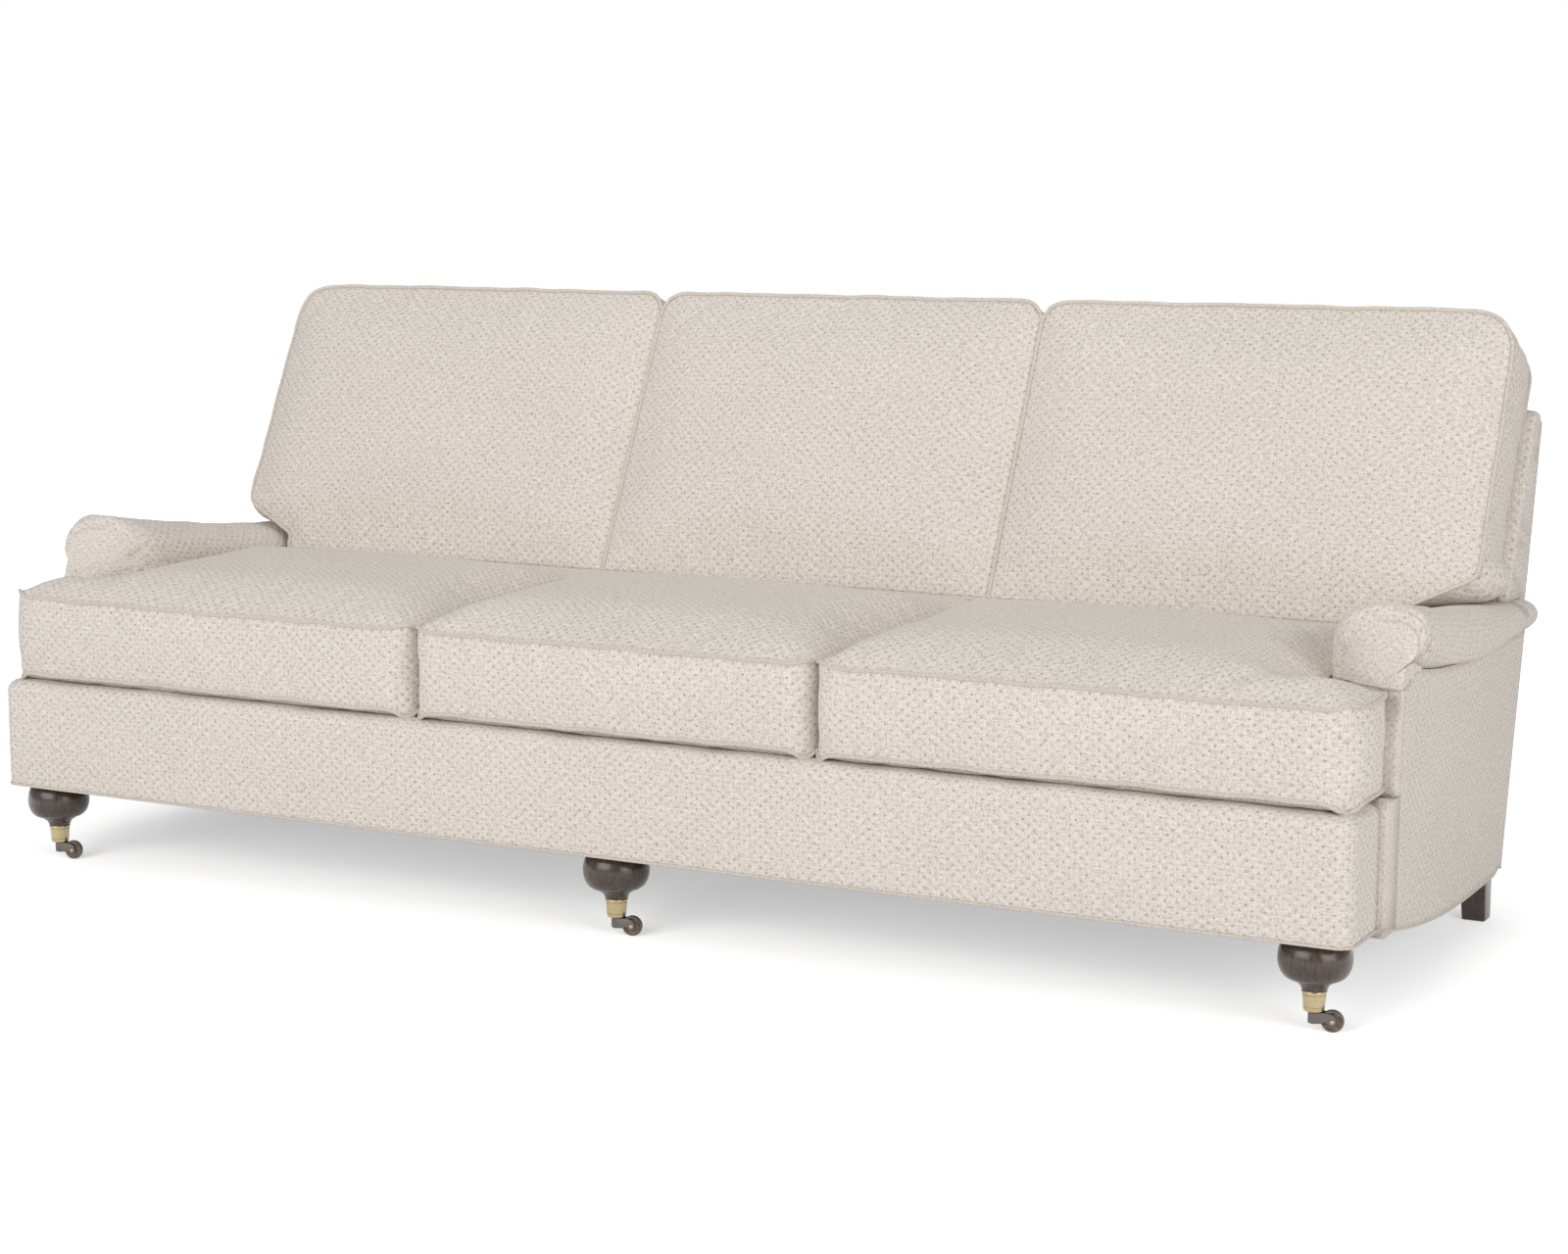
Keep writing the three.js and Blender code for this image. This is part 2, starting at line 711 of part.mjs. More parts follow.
// Padded facing below the roll's front end, which turns the corner down to the hem
function buildFacings() {
  const outer = armOutside;
  const inner = sideRailOuter + clearance;
  const rear = panelFront - clearance;
  const round = (shape) => {
    shape.lineTo(outer - facingCorner, facingFront);
    shape.quadraticCurveTo(outer, facingFront, outer, facingFront + facingCorner);
    shape.lineTo(outer, rear);
    shape.lineTo(inner, rear);
    return shape;
  };
  const standing = (shape, foot, top) => new THREE.ExtrudeGeometry(shape, {
    depth: top - foot, bevelEnabled: false, curveSegments: cornerSteps }).translate(0, 0, foot);
  const front = round(new THREE.Shape().moveTo(insideArm + clearance, facingFront));
  front.lineTo(inner, facingRear);
  front.lineTo(insideArm + clearance, facingRear);
  const neck = round(new THREE.Shape().moveTo(inner, facingFront));
  const upperFoot = deckTop + clearance;
  const upper = standing(front, upperFoot, capFoot - clearance);
  const middle = standing(neck, upperFoot - overrun, upperFoot + overrun);
  const lower = block([inner, borderReturn + clearance, hemAt(panelFront)], [outer, rear, deckTop]);
  placePair('arm_facing', joined(upper, middle, lower), fabric);
}

// Shares along and up the outside arm panel at which it has its points
const panelColumnShares = [0, 0.08, 0.2, 0.35, 0.5, 0.65, 0.8, 0.92, 1];
const panelRowShares = [0, 0.3, 0.55, 0.75, 0.9, 1];

// Outside arm panel, flared under the roll and leaning with the back at its rear edge
function buildOutsideArms() {
  const spot = (column, row, depth) => {
    const rough = mix(panelFront, armRear, column);
    const z = mix(hemAt(rough), rollAt(rough).under - clearance, row);
    const y = mix(panelFront, rearAt(z) - clearance, column);
    return new THREE.Vector3(armOutside + armOutsideFlare * row * row - depth, y, z);
  };
  const rings = panelRowShares.map((row) => [
    ...panelColumnShares.map((column) => spot(column, row, 0)),
    ...panelColumnShares.map((column) => spot(column, row, panelThickness)).reverse()]);
  placePair('outside_arm_panel', loft(rings, stripTriangles), fabric);
}

// Share of the fixed back's top at which its crown is highest
const backCrownShare = 0.6;

// Fixed back: one padded wedge open to the rear, closed there by the outside panel
function buildBack() {
  const foot = deckTop + clearance;
  const rearFace = (z) => rearAt(z) - backPanelThickness;
  const wedge = (bottom, front, rear, top) => {
    const shape = new THREE.Shape();
    const round = borderRoll;
    shape.moveTo(front(bottom), bottom);
    shape.lineTo(rear(bottom), bottom);
    shape.lineTo(rear(top - round / 2), top - round / 2);
    shape.quadraticCurveTo(rear(top), top, mix(front(top), rear(top), backCrownShare), top);
    shape.quadraticCurveTo(front(top), top, front(top - round), top - round);
    return shape.getPoints(arcSteps).map((point) => [point.x, point.y]);
  };
  const upper = board(wedge(shoulderLevel, faceAt, rearFace, backTop), -backHalf, backHalf);
  const between = insideArm - clearance;
  const lower = board(wedge(foot, faceAt, rearFace, shoulderLevel + borderRoll * 2), -between, between);
  const hollowFace = (z) => faceAt(z) + backPadThickness;
  const hollowRear = (z) => rearAt(z) + overrun;
  const low = foot - overrun;
  const high = topRailTop + clearance;
  const hollowOutline = [[hollowFace(low), low], [hollowRear(low), low], [hollowRear(high), high],
    [hollowFace(high), high]];
  const hollow = board(hollowOutline, -backHalf + backSidePadding, backHalf - backSidePadding);
  place('inside_back_pad', cut(joined(upper, lower), hollow), fabric);
  const panelTop = topRailTop;
  const panel = [[rearAt(hemRear) - backPanelThickness + clearance, hemRear], [rearAt(hemRear), hemRear],
    [rearAt(panelTop), panelTop], [rearAt(panelTop) - backPanelThickness + clearance, panelTop]];
  place('outside_back_panel', board(panel, -backHalf, backHalf), fabric);
}

// Loose seat cushions

// Share of the depth at which the crown is highest, and at which the back cushions rest on it
const domePeakShare = 0.42;
const restShare = (backSeatDepth - seatSetback) / (seatRear - seatSetback);

// Share of its reach that the fall to the sides keeps where the back cushions press on the seat
const pressedShare = 0.3;

// Distance from a point of the seat plan to the nearest free edge of its cushion
function seatEdge(x, y, plan) {
  const pressed = mix(1, pressedShare, clamp(y / backSeatDepth, 0, 1) ** 2);
  const distances = [(x - plan.left(y)) / pressed, (plan.right(y) - x) / pressed,
    y - seatSetback, seatRear - y];
  if (plan.ear && y < earRear) {
    distances.push(Math.hypot(earRear - y, Math.max(insideArm - x, 0)));
  }
  return Math.max(Math.min(...distances), 0);
}

// Top of a seat cushion, crowned in front of the back cushion and level across under its foot
function seatTop(x, y, plan) {
  const run = (y - seatSetback) / (seatRear - seatSetback);
  const middle = (plan.inner + plan.outer) / 2;
  const half = Math.abs(plan.outer - plan.inner) / 2;
  const across = clamp(Math.abs(x - middle) / half, 0, 1);
  const slope = run < domePeakShare ? domePeakShare : restShare - domePeakShare;
  const along = clamp((run - domePeakShare) / slope, -1, 1);
  const dome = seatDome * (1 - across * across) * (1 - along * along);
  const rise = seatEdgeRise * edgeEase(seatEdge(x, y, plan), seatEdgeReach);
  return mix(seatSeamFront, seatSeamRear, run) + rise + dome;
}

function seatUnder(x, y, plan) {
  const seam = mix(seatSeamFront, seatSeamRear, (y - seatSetback) / (seatRear - seatSetback)) - seatBoxing;
  const sag = seatSag * edgeEase(seatEdge(x, y, plan), seatSagReach);
  return Math.max(seam - sag, deckTop + 2 * clearance);
}

// Sides of the plan of the middle cushion and of the right hand one
function seatPlan(inner, outer, ear) {
  const cornerIn = (y, radius) => {
    const depth = Math.min(y - seatSetback, radius);
    return radius - Math.sqrt(Math.max(radius * radius - (radius - depth) ** 2, 0));
  };
  const side = (y) => {
    if (ear && y <= earRear) {
      const fromRear = clamp(earRear - y, 0, earCorner);
      const rearIn = earCorner - Math.sqrt(Math.max(earCorner ** 2 - (earCorner - fromRear) ** 2, 0));
      return earHalf - Math.max(cornerIn(y, seatCorner), rearIn);
    }
    return outer - (ear ? 0 : cornerIn(y, seatCorner / 2));
  };
  return { inner, outer, ear, left: (y) => inner + cornerIn(y, seatCorner / 2), right: side };
}

// Shares of the front corner, and of the whole depth, at which a seat cushion has its rows
const cornerRowShares = [0, 0.1, 0.35, 0.7, 1];
const depthRowShares = [0.16, 0.26, 0.4, 0.55, 0.7, 0.82, 0.91, 0.97, 1];

function seatRows(ear) {
  const depth = seatRear - seatSetback;
  const front = cornerRowShares.map((share) => seatSetback + seatCorner * share);
  const rest = depthRowShares.map((share) => seatSetback + depth * share);
  const earRows = [earRear - earCorner, earRear - earCorner / 3, earRear, earRear + clearance];
  const rows = ear ? [...front, ...earRows, ...rest] : [...front, ...rest];
  return rows.sort((a, b) => a - b);
}

function seatRing(y, plan, lift, forward) {
  const steps = crowdedSteps(cushionColumns);
  const left = plan.left(y);
  const right = plan.right(y);
  const at = (share) => mix(left, right, share);
  const skin = (level) => steps.map((share) => new THREE.Vector3(at(share), y, level(at(share), y, plan)));
  const ring = [...skin(seatTop), ...skin(seatUnder).reverse()];
  const middle = mix(seatSeamFront, seatSeamRear, (y - seatSetback) / (seatRear - seatSetback)) - seatBoxing / 2;
  return ring.map((point) => new THREE.Vector3(point.x, y - forward, mix(point.z, middle, lift)));
}

// Shares by which the boxing's bulge draws in from its seams towards mid height
const bulgeShares = [0.4, 0.12];

function seatCushion(plan) {
  const rows = seatRows(plan.ear);
  const rings = rows.map((y) => seatRing(y, plan, 0, 0));
  const [innerShare, outerShare] = bulgeShares;
  const bulge = [seatRing(seatSetback, plan, innerShare, seatFrontBulge),
    seatRing(seatSetback, plan, outerShare, seatFrontBulge / 2)];
  return loft([...bulge, ...rings], stripTriangles);
}

const middleSeat = seatPlan(-seatJoint + cushionGap / 2, seatJoint - cushionGap / 2, false);
const sideSeat = seatPlan(seatJoint + cushionGap / 2, insideArm - cushionGap, true);

function buildSeatCushions() {
  place('middle_seat_cushion', seatCushion(middleSeat), fabric);
  placePair('seat_cushion', seatCushion(sideSeat), fabric);
}

// Loose back cushions

// Point of the leaning cushion: along X, up the lean, and back through its thickness
function leaning(x, up, through) {
  return new THREE.Vector3(x,
    backSeatDepth + up * Math.sin(faceLean) + through * Math.cos(faceLean),
    backSeatLevel + up * Math.cos(faceLean) - through * Math.sin(faceLean));
}

const backLength = (backSeamTop - backSeatLevel) / Math.cos(faceLean);
const upTo = (z, through) => (z - backSeatLevel + through * Math.sin(faceLean)) / Math.cos(faceLean);

// Outer side of a back cushion at a level: inside the arm, over it as an ear, then its top corner
function backSide(z, up, plan) {
  const fromTop = Math.max(plan.corner - (backLength - up), 0);
  const cornerIn = plan.corner - Math.sqrt(Math.max(plan.corner ** 2 - fromTop ** 2, 0));
  if (!plan.ear) {
    return plan.outer - cornerIn;
  }
  const climb = clamp((z - earLow) / (earHigh - earLow), 0, 1);
  return mix(backInnerHalf, plan.outer, climb) - cornerIn;
}

function innerSide(up, plan) {
  const fromTop = Math.max(backCorner - (backLength - up), 0);
  return plan.inner + backCorner - Math.sqrt(Math.max(backCorner ** 2 - fromTop ** 2, 0));
}

// Level at which the back cushions rest on the seat
const restLevel = mix(seatSeamFront, seatSeamRear, restShare)
  + seatEdgeRise * edgeEase(seatRear - backSeatDepth, seatEdgeReach);

// Share of a back cushion's length at which its crown is fullest
const backPeakShare = 0.45;

// Ring of a back cushion at a share of its length, drawn in by a share towards its middle
function backRing(share, plan, drawn, lift) {
  const steps = crowdedSteps(cushionColumns);
  const front = [];
  const rear = [];
  steps.forEach((step) => {
    const middle = (plan.inner + plan.outer) / 2;
    const footUp = upTo(restLevel + clearance - backFootSettle, 0);
    const frontUp = mix(footUp, backLength, share) + lift;
    const frontZ = backSeatLevel + frontUp * Math.cos(faceLean);
    const x = mix(innerSide(frontUp - lift, plan), backSide(frontZ, frontUp - lift, plan), step);
    const edges = [x - innerSide(frontUp - lift, plan), backSide(frontZ, frontUp - lift, plan) - x,
      backLength - frontUp + lift, frontUp - lift - footUp + backEdgeReach / 6];
    const across = clamp(Math.abs(x - middle) / Math.abs(plan.outer - middle), 0, 1);
    const crown = backEdgeRise * edgeEase(Math.max(Math.min(...edges), 0), backEdgeReach)
      + backDome * (1 - across * across) * (1 - ((share - backPeakShare) / (1 - backPeakShare)) ** 2);
    front.push(leaning(x, frontUp, mix(-crown, backBoxing / 2, drawn)));
    const rearLow = upTo(seatSeamRear + backRearRise, backBoxing);
    const rearUp = mix(rearLow, backLength, share) + lift;
    const rearZ = backSeatLevel + rearUp * Math.cos(faceLean) - backBoxing * Math.sin(faceLean);
    const rearX = mix(innerSide(rearUp - lift, plan), backSide(rearZ, rearUp - lift, plan), step);
    rear.push(leaning(rearX, rearUp, mix(backBoxing, backBoxing / 2, drawn)));
  });
  return [...front, ...rear.reverse()];
}

// Shares of the length at which the back cushions have their rows
const sideRowShares = [0, 0.04, 0.08, 0.12, 0.17, 0.24, 0.36, 0.5, 0.64, 0.78, 0.87, 0.93, 0.97, 1];
const middleRowShares = [0, 0.05, 0.12, 0.24, 0.38, 0.54, 0.7, 0.82, 0.9, 0.955, 0.985, 1];

function backCushion(plan) {
  const rings = (plan.ear ? sideRowShares : middleRowShares).map((share) => backRing(share, plan, 0, 0));
  const [innerShare, outerShare] = bulgeShares;
  const bulge = [backRing(1, plan, outerShare, backBulge / 2), backRing(1, plan, innerShare, backBulge)];
  return loft([...rings, ...bulge], stripTriangles);
}

function buildBackCushions() {
  const inner = backJoint - cushionGap / 2;
  place('middle_back_cushion', backCushion(
    { inner: -inner, outer: inner, ear: false, corner: backCorner }), fabric);
  placePair('back_cushion', backCushion({
    inner: backJoint + cushionGap / 2, outer: backOuterHalf, ear: true, corner: backOuterCorner,
  }), fabric);
}

// Turned legs and castors

function turned(profile, sides) {
  const points = profile.map(([r, z]) => new THREE.Vector2(r, z));
  return new THREE.LatheGeometry(points, sides).rotateX(Math.PI / 2);
}

// Radius of the tapered foot of the leg inside the cup, at a level
function cupInside(z) {
  return mix(cupFootRadius, cupTopRadius, (z - cupFoot) / (cupTop - cupFoot)) - cupWall;
}

// Share that makes the underside of the leg's ball fuller than a plain ellipse
const ballFullShare = 0.8;

// Shares of the flare between cup and ball at which the leg has its points
const flareShares = [0.35, 0.7, 1];

function frontLeg() {
  const top = railFoot - clearance;
  const ballTop = borderFoot - clearance;
  const profile = [[0, top], [legTopRadius, top]];
  quarterShares.forEach((share) => {
    const turn = (share * Math.PI) / 2;
    profile.push([mix(legTopRadius, legBall, Math.sin(turn)), mix(legBallLevel, ballTop, Math.cos(turn))]);
  });
  quarterShares.slice(1).forEach((share) => {
    const turn = (share * Math.PI) / 2;
    profile.push([mix(legShoulder, legBall, Math.cos(turn) ** ballFullShare),
      mix(legBallLevel, legShoulderLevel, Math.sin(turn))]);
  });
  const neck = cupTopRadius + clearance * 2;
  flareShares.forEach((share) => {
    profile.push([mix(legShoulder, neck, Math.sqrt(share)), mix(legShoulderLevel, legNeckLevel, share)]);
  });
  profile.push([cupInside(cupTop) - clearance, legNeckLevel]);
  profile.push([cupInside(legTenonFoot) - clearance, legTenonFoot]);
  const bore = pintleRadius + clearance;
  profile.push([bore, legTenonFoot], [bore, pintleTop + clearance], [0, pintleTop + clearance]);
  return turned(profile.reverse(), turnedSides);
}

function brassCup() {
  const bore = pintleRadius + clearance;
  const floor = cupFoot + cupFloor;
  const beadFoot = cupTop - cupBeadHeight;
  const outside = (z) => cupInside(z) + cupWall;
  const soft = cupBeadHeight / 4;
  return turned([
    [bore, cupFoot], [outside(cupFoot), cupFoot], [outside(beadFoot), beadFoot],
    [outside(beadFoot) + cupBead, beadFoot + soft], [outside(cupTop) + cupBead, cupTop - soft],
    [outside(cupTop), cupTop], [cupInside(cupTop), cupTop], [cupInside(floor), floor],
    [bore, floor], [bore, cupFoot]], turnedSides);
}

// Wheel centre: its lowest facet stands on the floor
const wheelLevel = wheelRadius * Math.cos(Math.PI / wheelSides);
const plateInner = wheelWidth / 2 + wheelSideClearance;

// Shares of the trail at which the plate's foot turns, and of boss and eye at their lower edges
const plateFootShares = [0.45, 0.62, 0.8];
const bossFootShare = 0.8;
const eyeDropShare = 0.75;

// Horn: boss and pintle on the leg's axis, with a comma shaped plate on each side of the wheel
function horn() {
  const bossTop = cupFoot - clearance;
  const boss = turned([[0, bossFoot], [bossRadius * bossFootShare, bossFoot],
    [bossRadius, bossFoot + hornPlate], [bossRadius, bossTop], [pintleRadius, bossTop],
    [pintleRadius, pintleTop], [0, pintleTop]], turnedSides);
  const plate = new THREE.Shape();
  plate.moveTo(0, bossFoot + hornPlate / 2);
  const [heel, waist, toe] = plateFootShares.map((share) => trail * share);
  plate.lineTo(heel, bossFoot + hornPlate / 2);
  plate.quadraticCurveTo(waist, wheelLevel + hornPlate / 2, toe, wheelLevel - hornEye * eyeDropShare);
  plate.absarc(trail, wheelLevel, hornEye, -Math.PI * eyeDropShare, 0, false);
  plate.quadraticCurveTo(trail + hornEye, hornTop, waist, hornTop);
  plate.lineTo(0, hornTop);
  const flat = { depth: hornPlate, bevelEnabled: false, curveSegments: plateSteps };
  const sides = [plateInner + hornPlate, -plateInner].map(
    (offset) => new THREE.ExtrudeGeometry(plate, flat).rotateX(Math.PI / 2).translate(0, offset, 0));
  const eye = new THREE.CylinderGeometry(axleRadius + clearance, axleRadius + clearance,
    2 * (plateInner + hornPlate + overrun), axleSides).translate(trail, 0, wheelLevel);
  return cut(joined(boss, ...sides), eye);
}

// Share of the axle head's radius that its flat crown keeps
const axleCrownShare = 0.7;

function axle() {
  const half = plateInner + hornPlate + clearance;
  const end = half + axleHead;
  const crown = axleHeadRadius * axleCrownShare;
  const profile = [[0, -end], [crown, -end], [axleHeadRadius, -half], [axleRadius, -half],
    [axleRadius, half], [axleHeadRadius, half], [crown, end], [0, end]];
  return new THREE.LatheGeometry(profile.map(([r, y]) => new THREE.Vector2(r, y)), axleSides);
}

function wheel() {
  const bore = axleRadius + clearance;
  const half = wheelWidth / 2;
  const profile = [[bore, -half], [wheelRadius - wheelRound, -half], [wheelRadius, -half + wheelRound],
    [wheelRadius, half - wheelRound], [wheelRadius - wheelRound, half], [bore, half], [bore, -half]];
  const geometry = new THREE.LatheGeometry(profile.map(([r, y]) => new THREE.Vector2(r, y)), wheelSides);
  return geometry.rotateY(Math.PI / wheelSides);
}

function buildFrontLegs() {
  const places = { left: -legSpread, centre: 0, right: legSpread };
  Object.entries(places).forEach(([side, x]) => {
    const leg = new THREE.Group();
    leg.position.set(x, legSetback, 0);
    sofa.add(leg);
    place(`${side}_front_leg`, frontLeg(), espresso, leg);
    place(`${side}_brass_cup`, brassCup(), brass, leg);
    const castor = new THREE.Group();
    castor.rotation.z = trailTurn;
    leg.add(castor);
    place(`${side}_castor_horn`, horn(), brass, castor);
    place(`${side}_castor_axle`, axle(), brass, castor).position.set(trail, 0, wheelLevel);
    place(`${side}_castor_wheel`, wheel(), ironware, castor).position.set(trail, 0, wheelLevel);
  });
}

// Square tapered rear legs with softened edges, raked slightly towards the rear
function buildRearLegs() {
  const ring = (z, draw, rake) => {
    const half = rearLegWidth / 2 - draw;
    const soft = half - rearLegBevel;
    return [[soft, half], [half, soft], [half, -soft], [soft, -half], [-soft, -half], [-half, -soft],
      [-half, soft], [-soft, half]].map(([x, y]) => new THREE.Vector3(
      postInner + rearLegWidth / 2 + x, rearLegSetback + rearLegWidth / 2 + rake + y, z));
  };
  placePair('rear_leg', loft([ring(0, rearLegTaper, rearLegRake), ring(rearLegTop, 0, 0)]), espresso);
}

buildFrame();
buildLegBlocks();
buildArmTimber();
buildSuspension();
buildDeck();
buildBorder();
buildArms();
buildFacings();
buildOutsideArms();
buildBack();
buildSeatCushions();
buildBackCushions();
buildFrontLegs();
buildRearLegs();

// Origin: the middle of the sofa's footprint, on the floor
const bounds = new THREE.Box3().setFromObject(sofa);
sofa.position.set(0, -(bounds.min.y + bounds.max.y) / 2, -bounds.min.z);

export default sofa;
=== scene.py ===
"""English roll arm sofa: loose T-shaped seat cushions, loose back cushions and turned legs on brass castors."""
import logging
import math
from dataclasses import dataclass, field
from enum import Enum
from typing import Callable, Iterable, Sequence

import bmesh
import bpy
import numpy as np
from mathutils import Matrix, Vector
from mathutils.geometry import delaunay_2d_cdt


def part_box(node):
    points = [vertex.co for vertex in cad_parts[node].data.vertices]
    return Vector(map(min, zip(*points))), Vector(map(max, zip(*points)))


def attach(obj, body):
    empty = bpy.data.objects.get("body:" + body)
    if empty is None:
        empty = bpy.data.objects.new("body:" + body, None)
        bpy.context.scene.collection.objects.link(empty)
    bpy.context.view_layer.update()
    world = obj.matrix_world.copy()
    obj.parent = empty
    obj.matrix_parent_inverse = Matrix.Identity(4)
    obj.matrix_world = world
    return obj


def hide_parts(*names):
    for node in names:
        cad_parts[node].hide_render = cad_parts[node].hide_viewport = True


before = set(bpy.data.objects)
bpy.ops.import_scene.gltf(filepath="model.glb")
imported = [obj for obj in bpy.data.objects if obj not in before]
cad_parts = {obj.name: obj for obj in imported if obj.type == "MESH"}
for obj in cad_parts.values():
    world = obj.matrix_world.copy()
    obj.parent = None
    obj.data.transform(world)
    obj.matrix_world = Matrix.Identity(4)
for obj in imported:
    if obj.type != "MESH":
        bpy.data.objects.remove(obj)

LOG = logging.getLogger("sofa")
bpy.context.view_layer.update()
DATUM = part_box("front_border")[0].y
CLEAR = 0.3
Point = tuple[float, float]
Spot = tuple[float, float, float]
Shell = tuple[np.ndarray, list[list[int]]]


class Side(Enum):
    """The two ends of the sofa, as signs along X."""

    LEFT = -1
    RIGHT = 1

    @property
    def word(self) -> str:
        """Name of the end, as the frame's nodes have it."""
        return self.name.lower()


def to_frame(spots: Iterable[Sequence[float]]) -> np.ndarray:
    """Puts maker's millimetres, with Y from the border's face, into the shared frame.

    Args:
        spots: Points or rows of points in millimetres.

    Returns:
        The same points in metres in the shared frame.
    """
    placed = np.array(spots, float) / 1000
    placed[..., 1] += DATUM
    return placed


def run_along(line: np.ndarray) -> np.ndarray:
    """Length run along a line, at each of its points."""
    return np.concatenate([[0], np.cumsum(np.linalg.norm(np.diff(line, axis=0), axis=1))])


def bend(first: Sequence[float], knee: Sequence[float], last: Sequence[float], t: float) -> Point:
    """Point of a curve that leaves the first point toward the knee and comes to the last.

    Args:
        first: Where the curve starts.
        knee: Corner that draws it.
        last: Where it ends.
        t: Share of the way.

    Returns:
        The point in the plane.
    """
    return tuple((1 - t) ** 2 * first[i] + 2 * t * (1 - t) * knee[i] + t * t * last[i] for i in (0, 1))


def mix(start: float, end: float, share: float) -> float:
    """Value at a share of the way from start to end."""
    return start + (end - start) * share


def clamp(value: float, low: float = 0.0, high: float = 1.0) -> float:
    """Value held between two limits."""
    return min(max(value, low), high)


def smooth(value: float) -> float:
    """Share eased at both ends."""
    share = clamp(value)
    return share * share * (3 - 2 * share)


def edge_ease(distance: float, reach: float) -> float:
    """Rise that starts at once at an edge and levels out at its reach."""
    left = 1 - clamp(distance / reach)
    return 1 - left * left


def ripple(place: float, seed: float, cycles: Sequence[float]) -> float:
    """Soft repeatable waver along a line.

    Args:
        place: Share of the line, or any distance.
        seed: Number that makes this line differ from the next.
        cycles: Waves in each unit of place.

    Returns:
        A value from about -1 to 1.
    """
    total = sum(math.sin(2 * math.pi * place * cycle + seed * (3.7 + 2.3 * i)) for i, cycle in enumerate(cycles))
    return total / math.sqrt(len(cycles))


def linear(code: str) -> tuple[float, float, float, float]:
    """Turns an sRGB hex colour to linear light.

    Args:
        code: Six hex digits.

    Returns:
        Red, green, blue and alpha in linear light.
    """
    shares = [int(code[i:i + 2], 16) / 255 for i in (0, 2, 4)]
    lit = [s / 12.92 if s <= 0.04045 else ((s + 0.055) / 1.055) ** 2.4 for s in shares]
    return (lit[0], lit[1], lit[2], 1.0)


def add(tree: bpy.types.NodeTree, kind: str, inputs: dict | None = None, **settings: object) -> bpy.types.Node:
    """Adds a node with its settings, values and links.

    Args:
        tree: Tree that the node joins.
        kind: Node type.
        inputs: Socket name or number to a value, or to the socket that feeds it.
        settings: Properties of the node.

    Returns:
        The new node.
    """
    node = tree.nodes.new(kind)
    for name, value in settings.items():
        setattr(node, name, value)
    for key, value in (inputs or {}).items():
        if isinstance(value, bpy.types.NodeSocket):
            tree.links.new(value, node.inputs[key])
        else:
            node.inputs[key].default_value = value
    return node


# Finishes


@dataclass(frozen=True)
class Finish:
    """A finish named for its real material; a subclass draws its nodes."""

    name: str

    def draw(self, tree: bpy.types.NodeTree) -> bpy.types.NodeSocket:
        """Adds the nodes of the finish and returns its shader socket."""
        raise NotImplementedError

    def material(self) -> bpy.types.Material:
        """Material of this finish, made once."""
        found = bpy.data.materials.get(self.name)
        if found:
            return found
        made = bpy.data.materials.new(self.name)
        made.use_nodes = True
        tree = made.node_tree
        tree.nodes.clear()
        add(tree, "ShaderNodeOutputMaterial", {"Surface": self.draw(tree)})
        return made


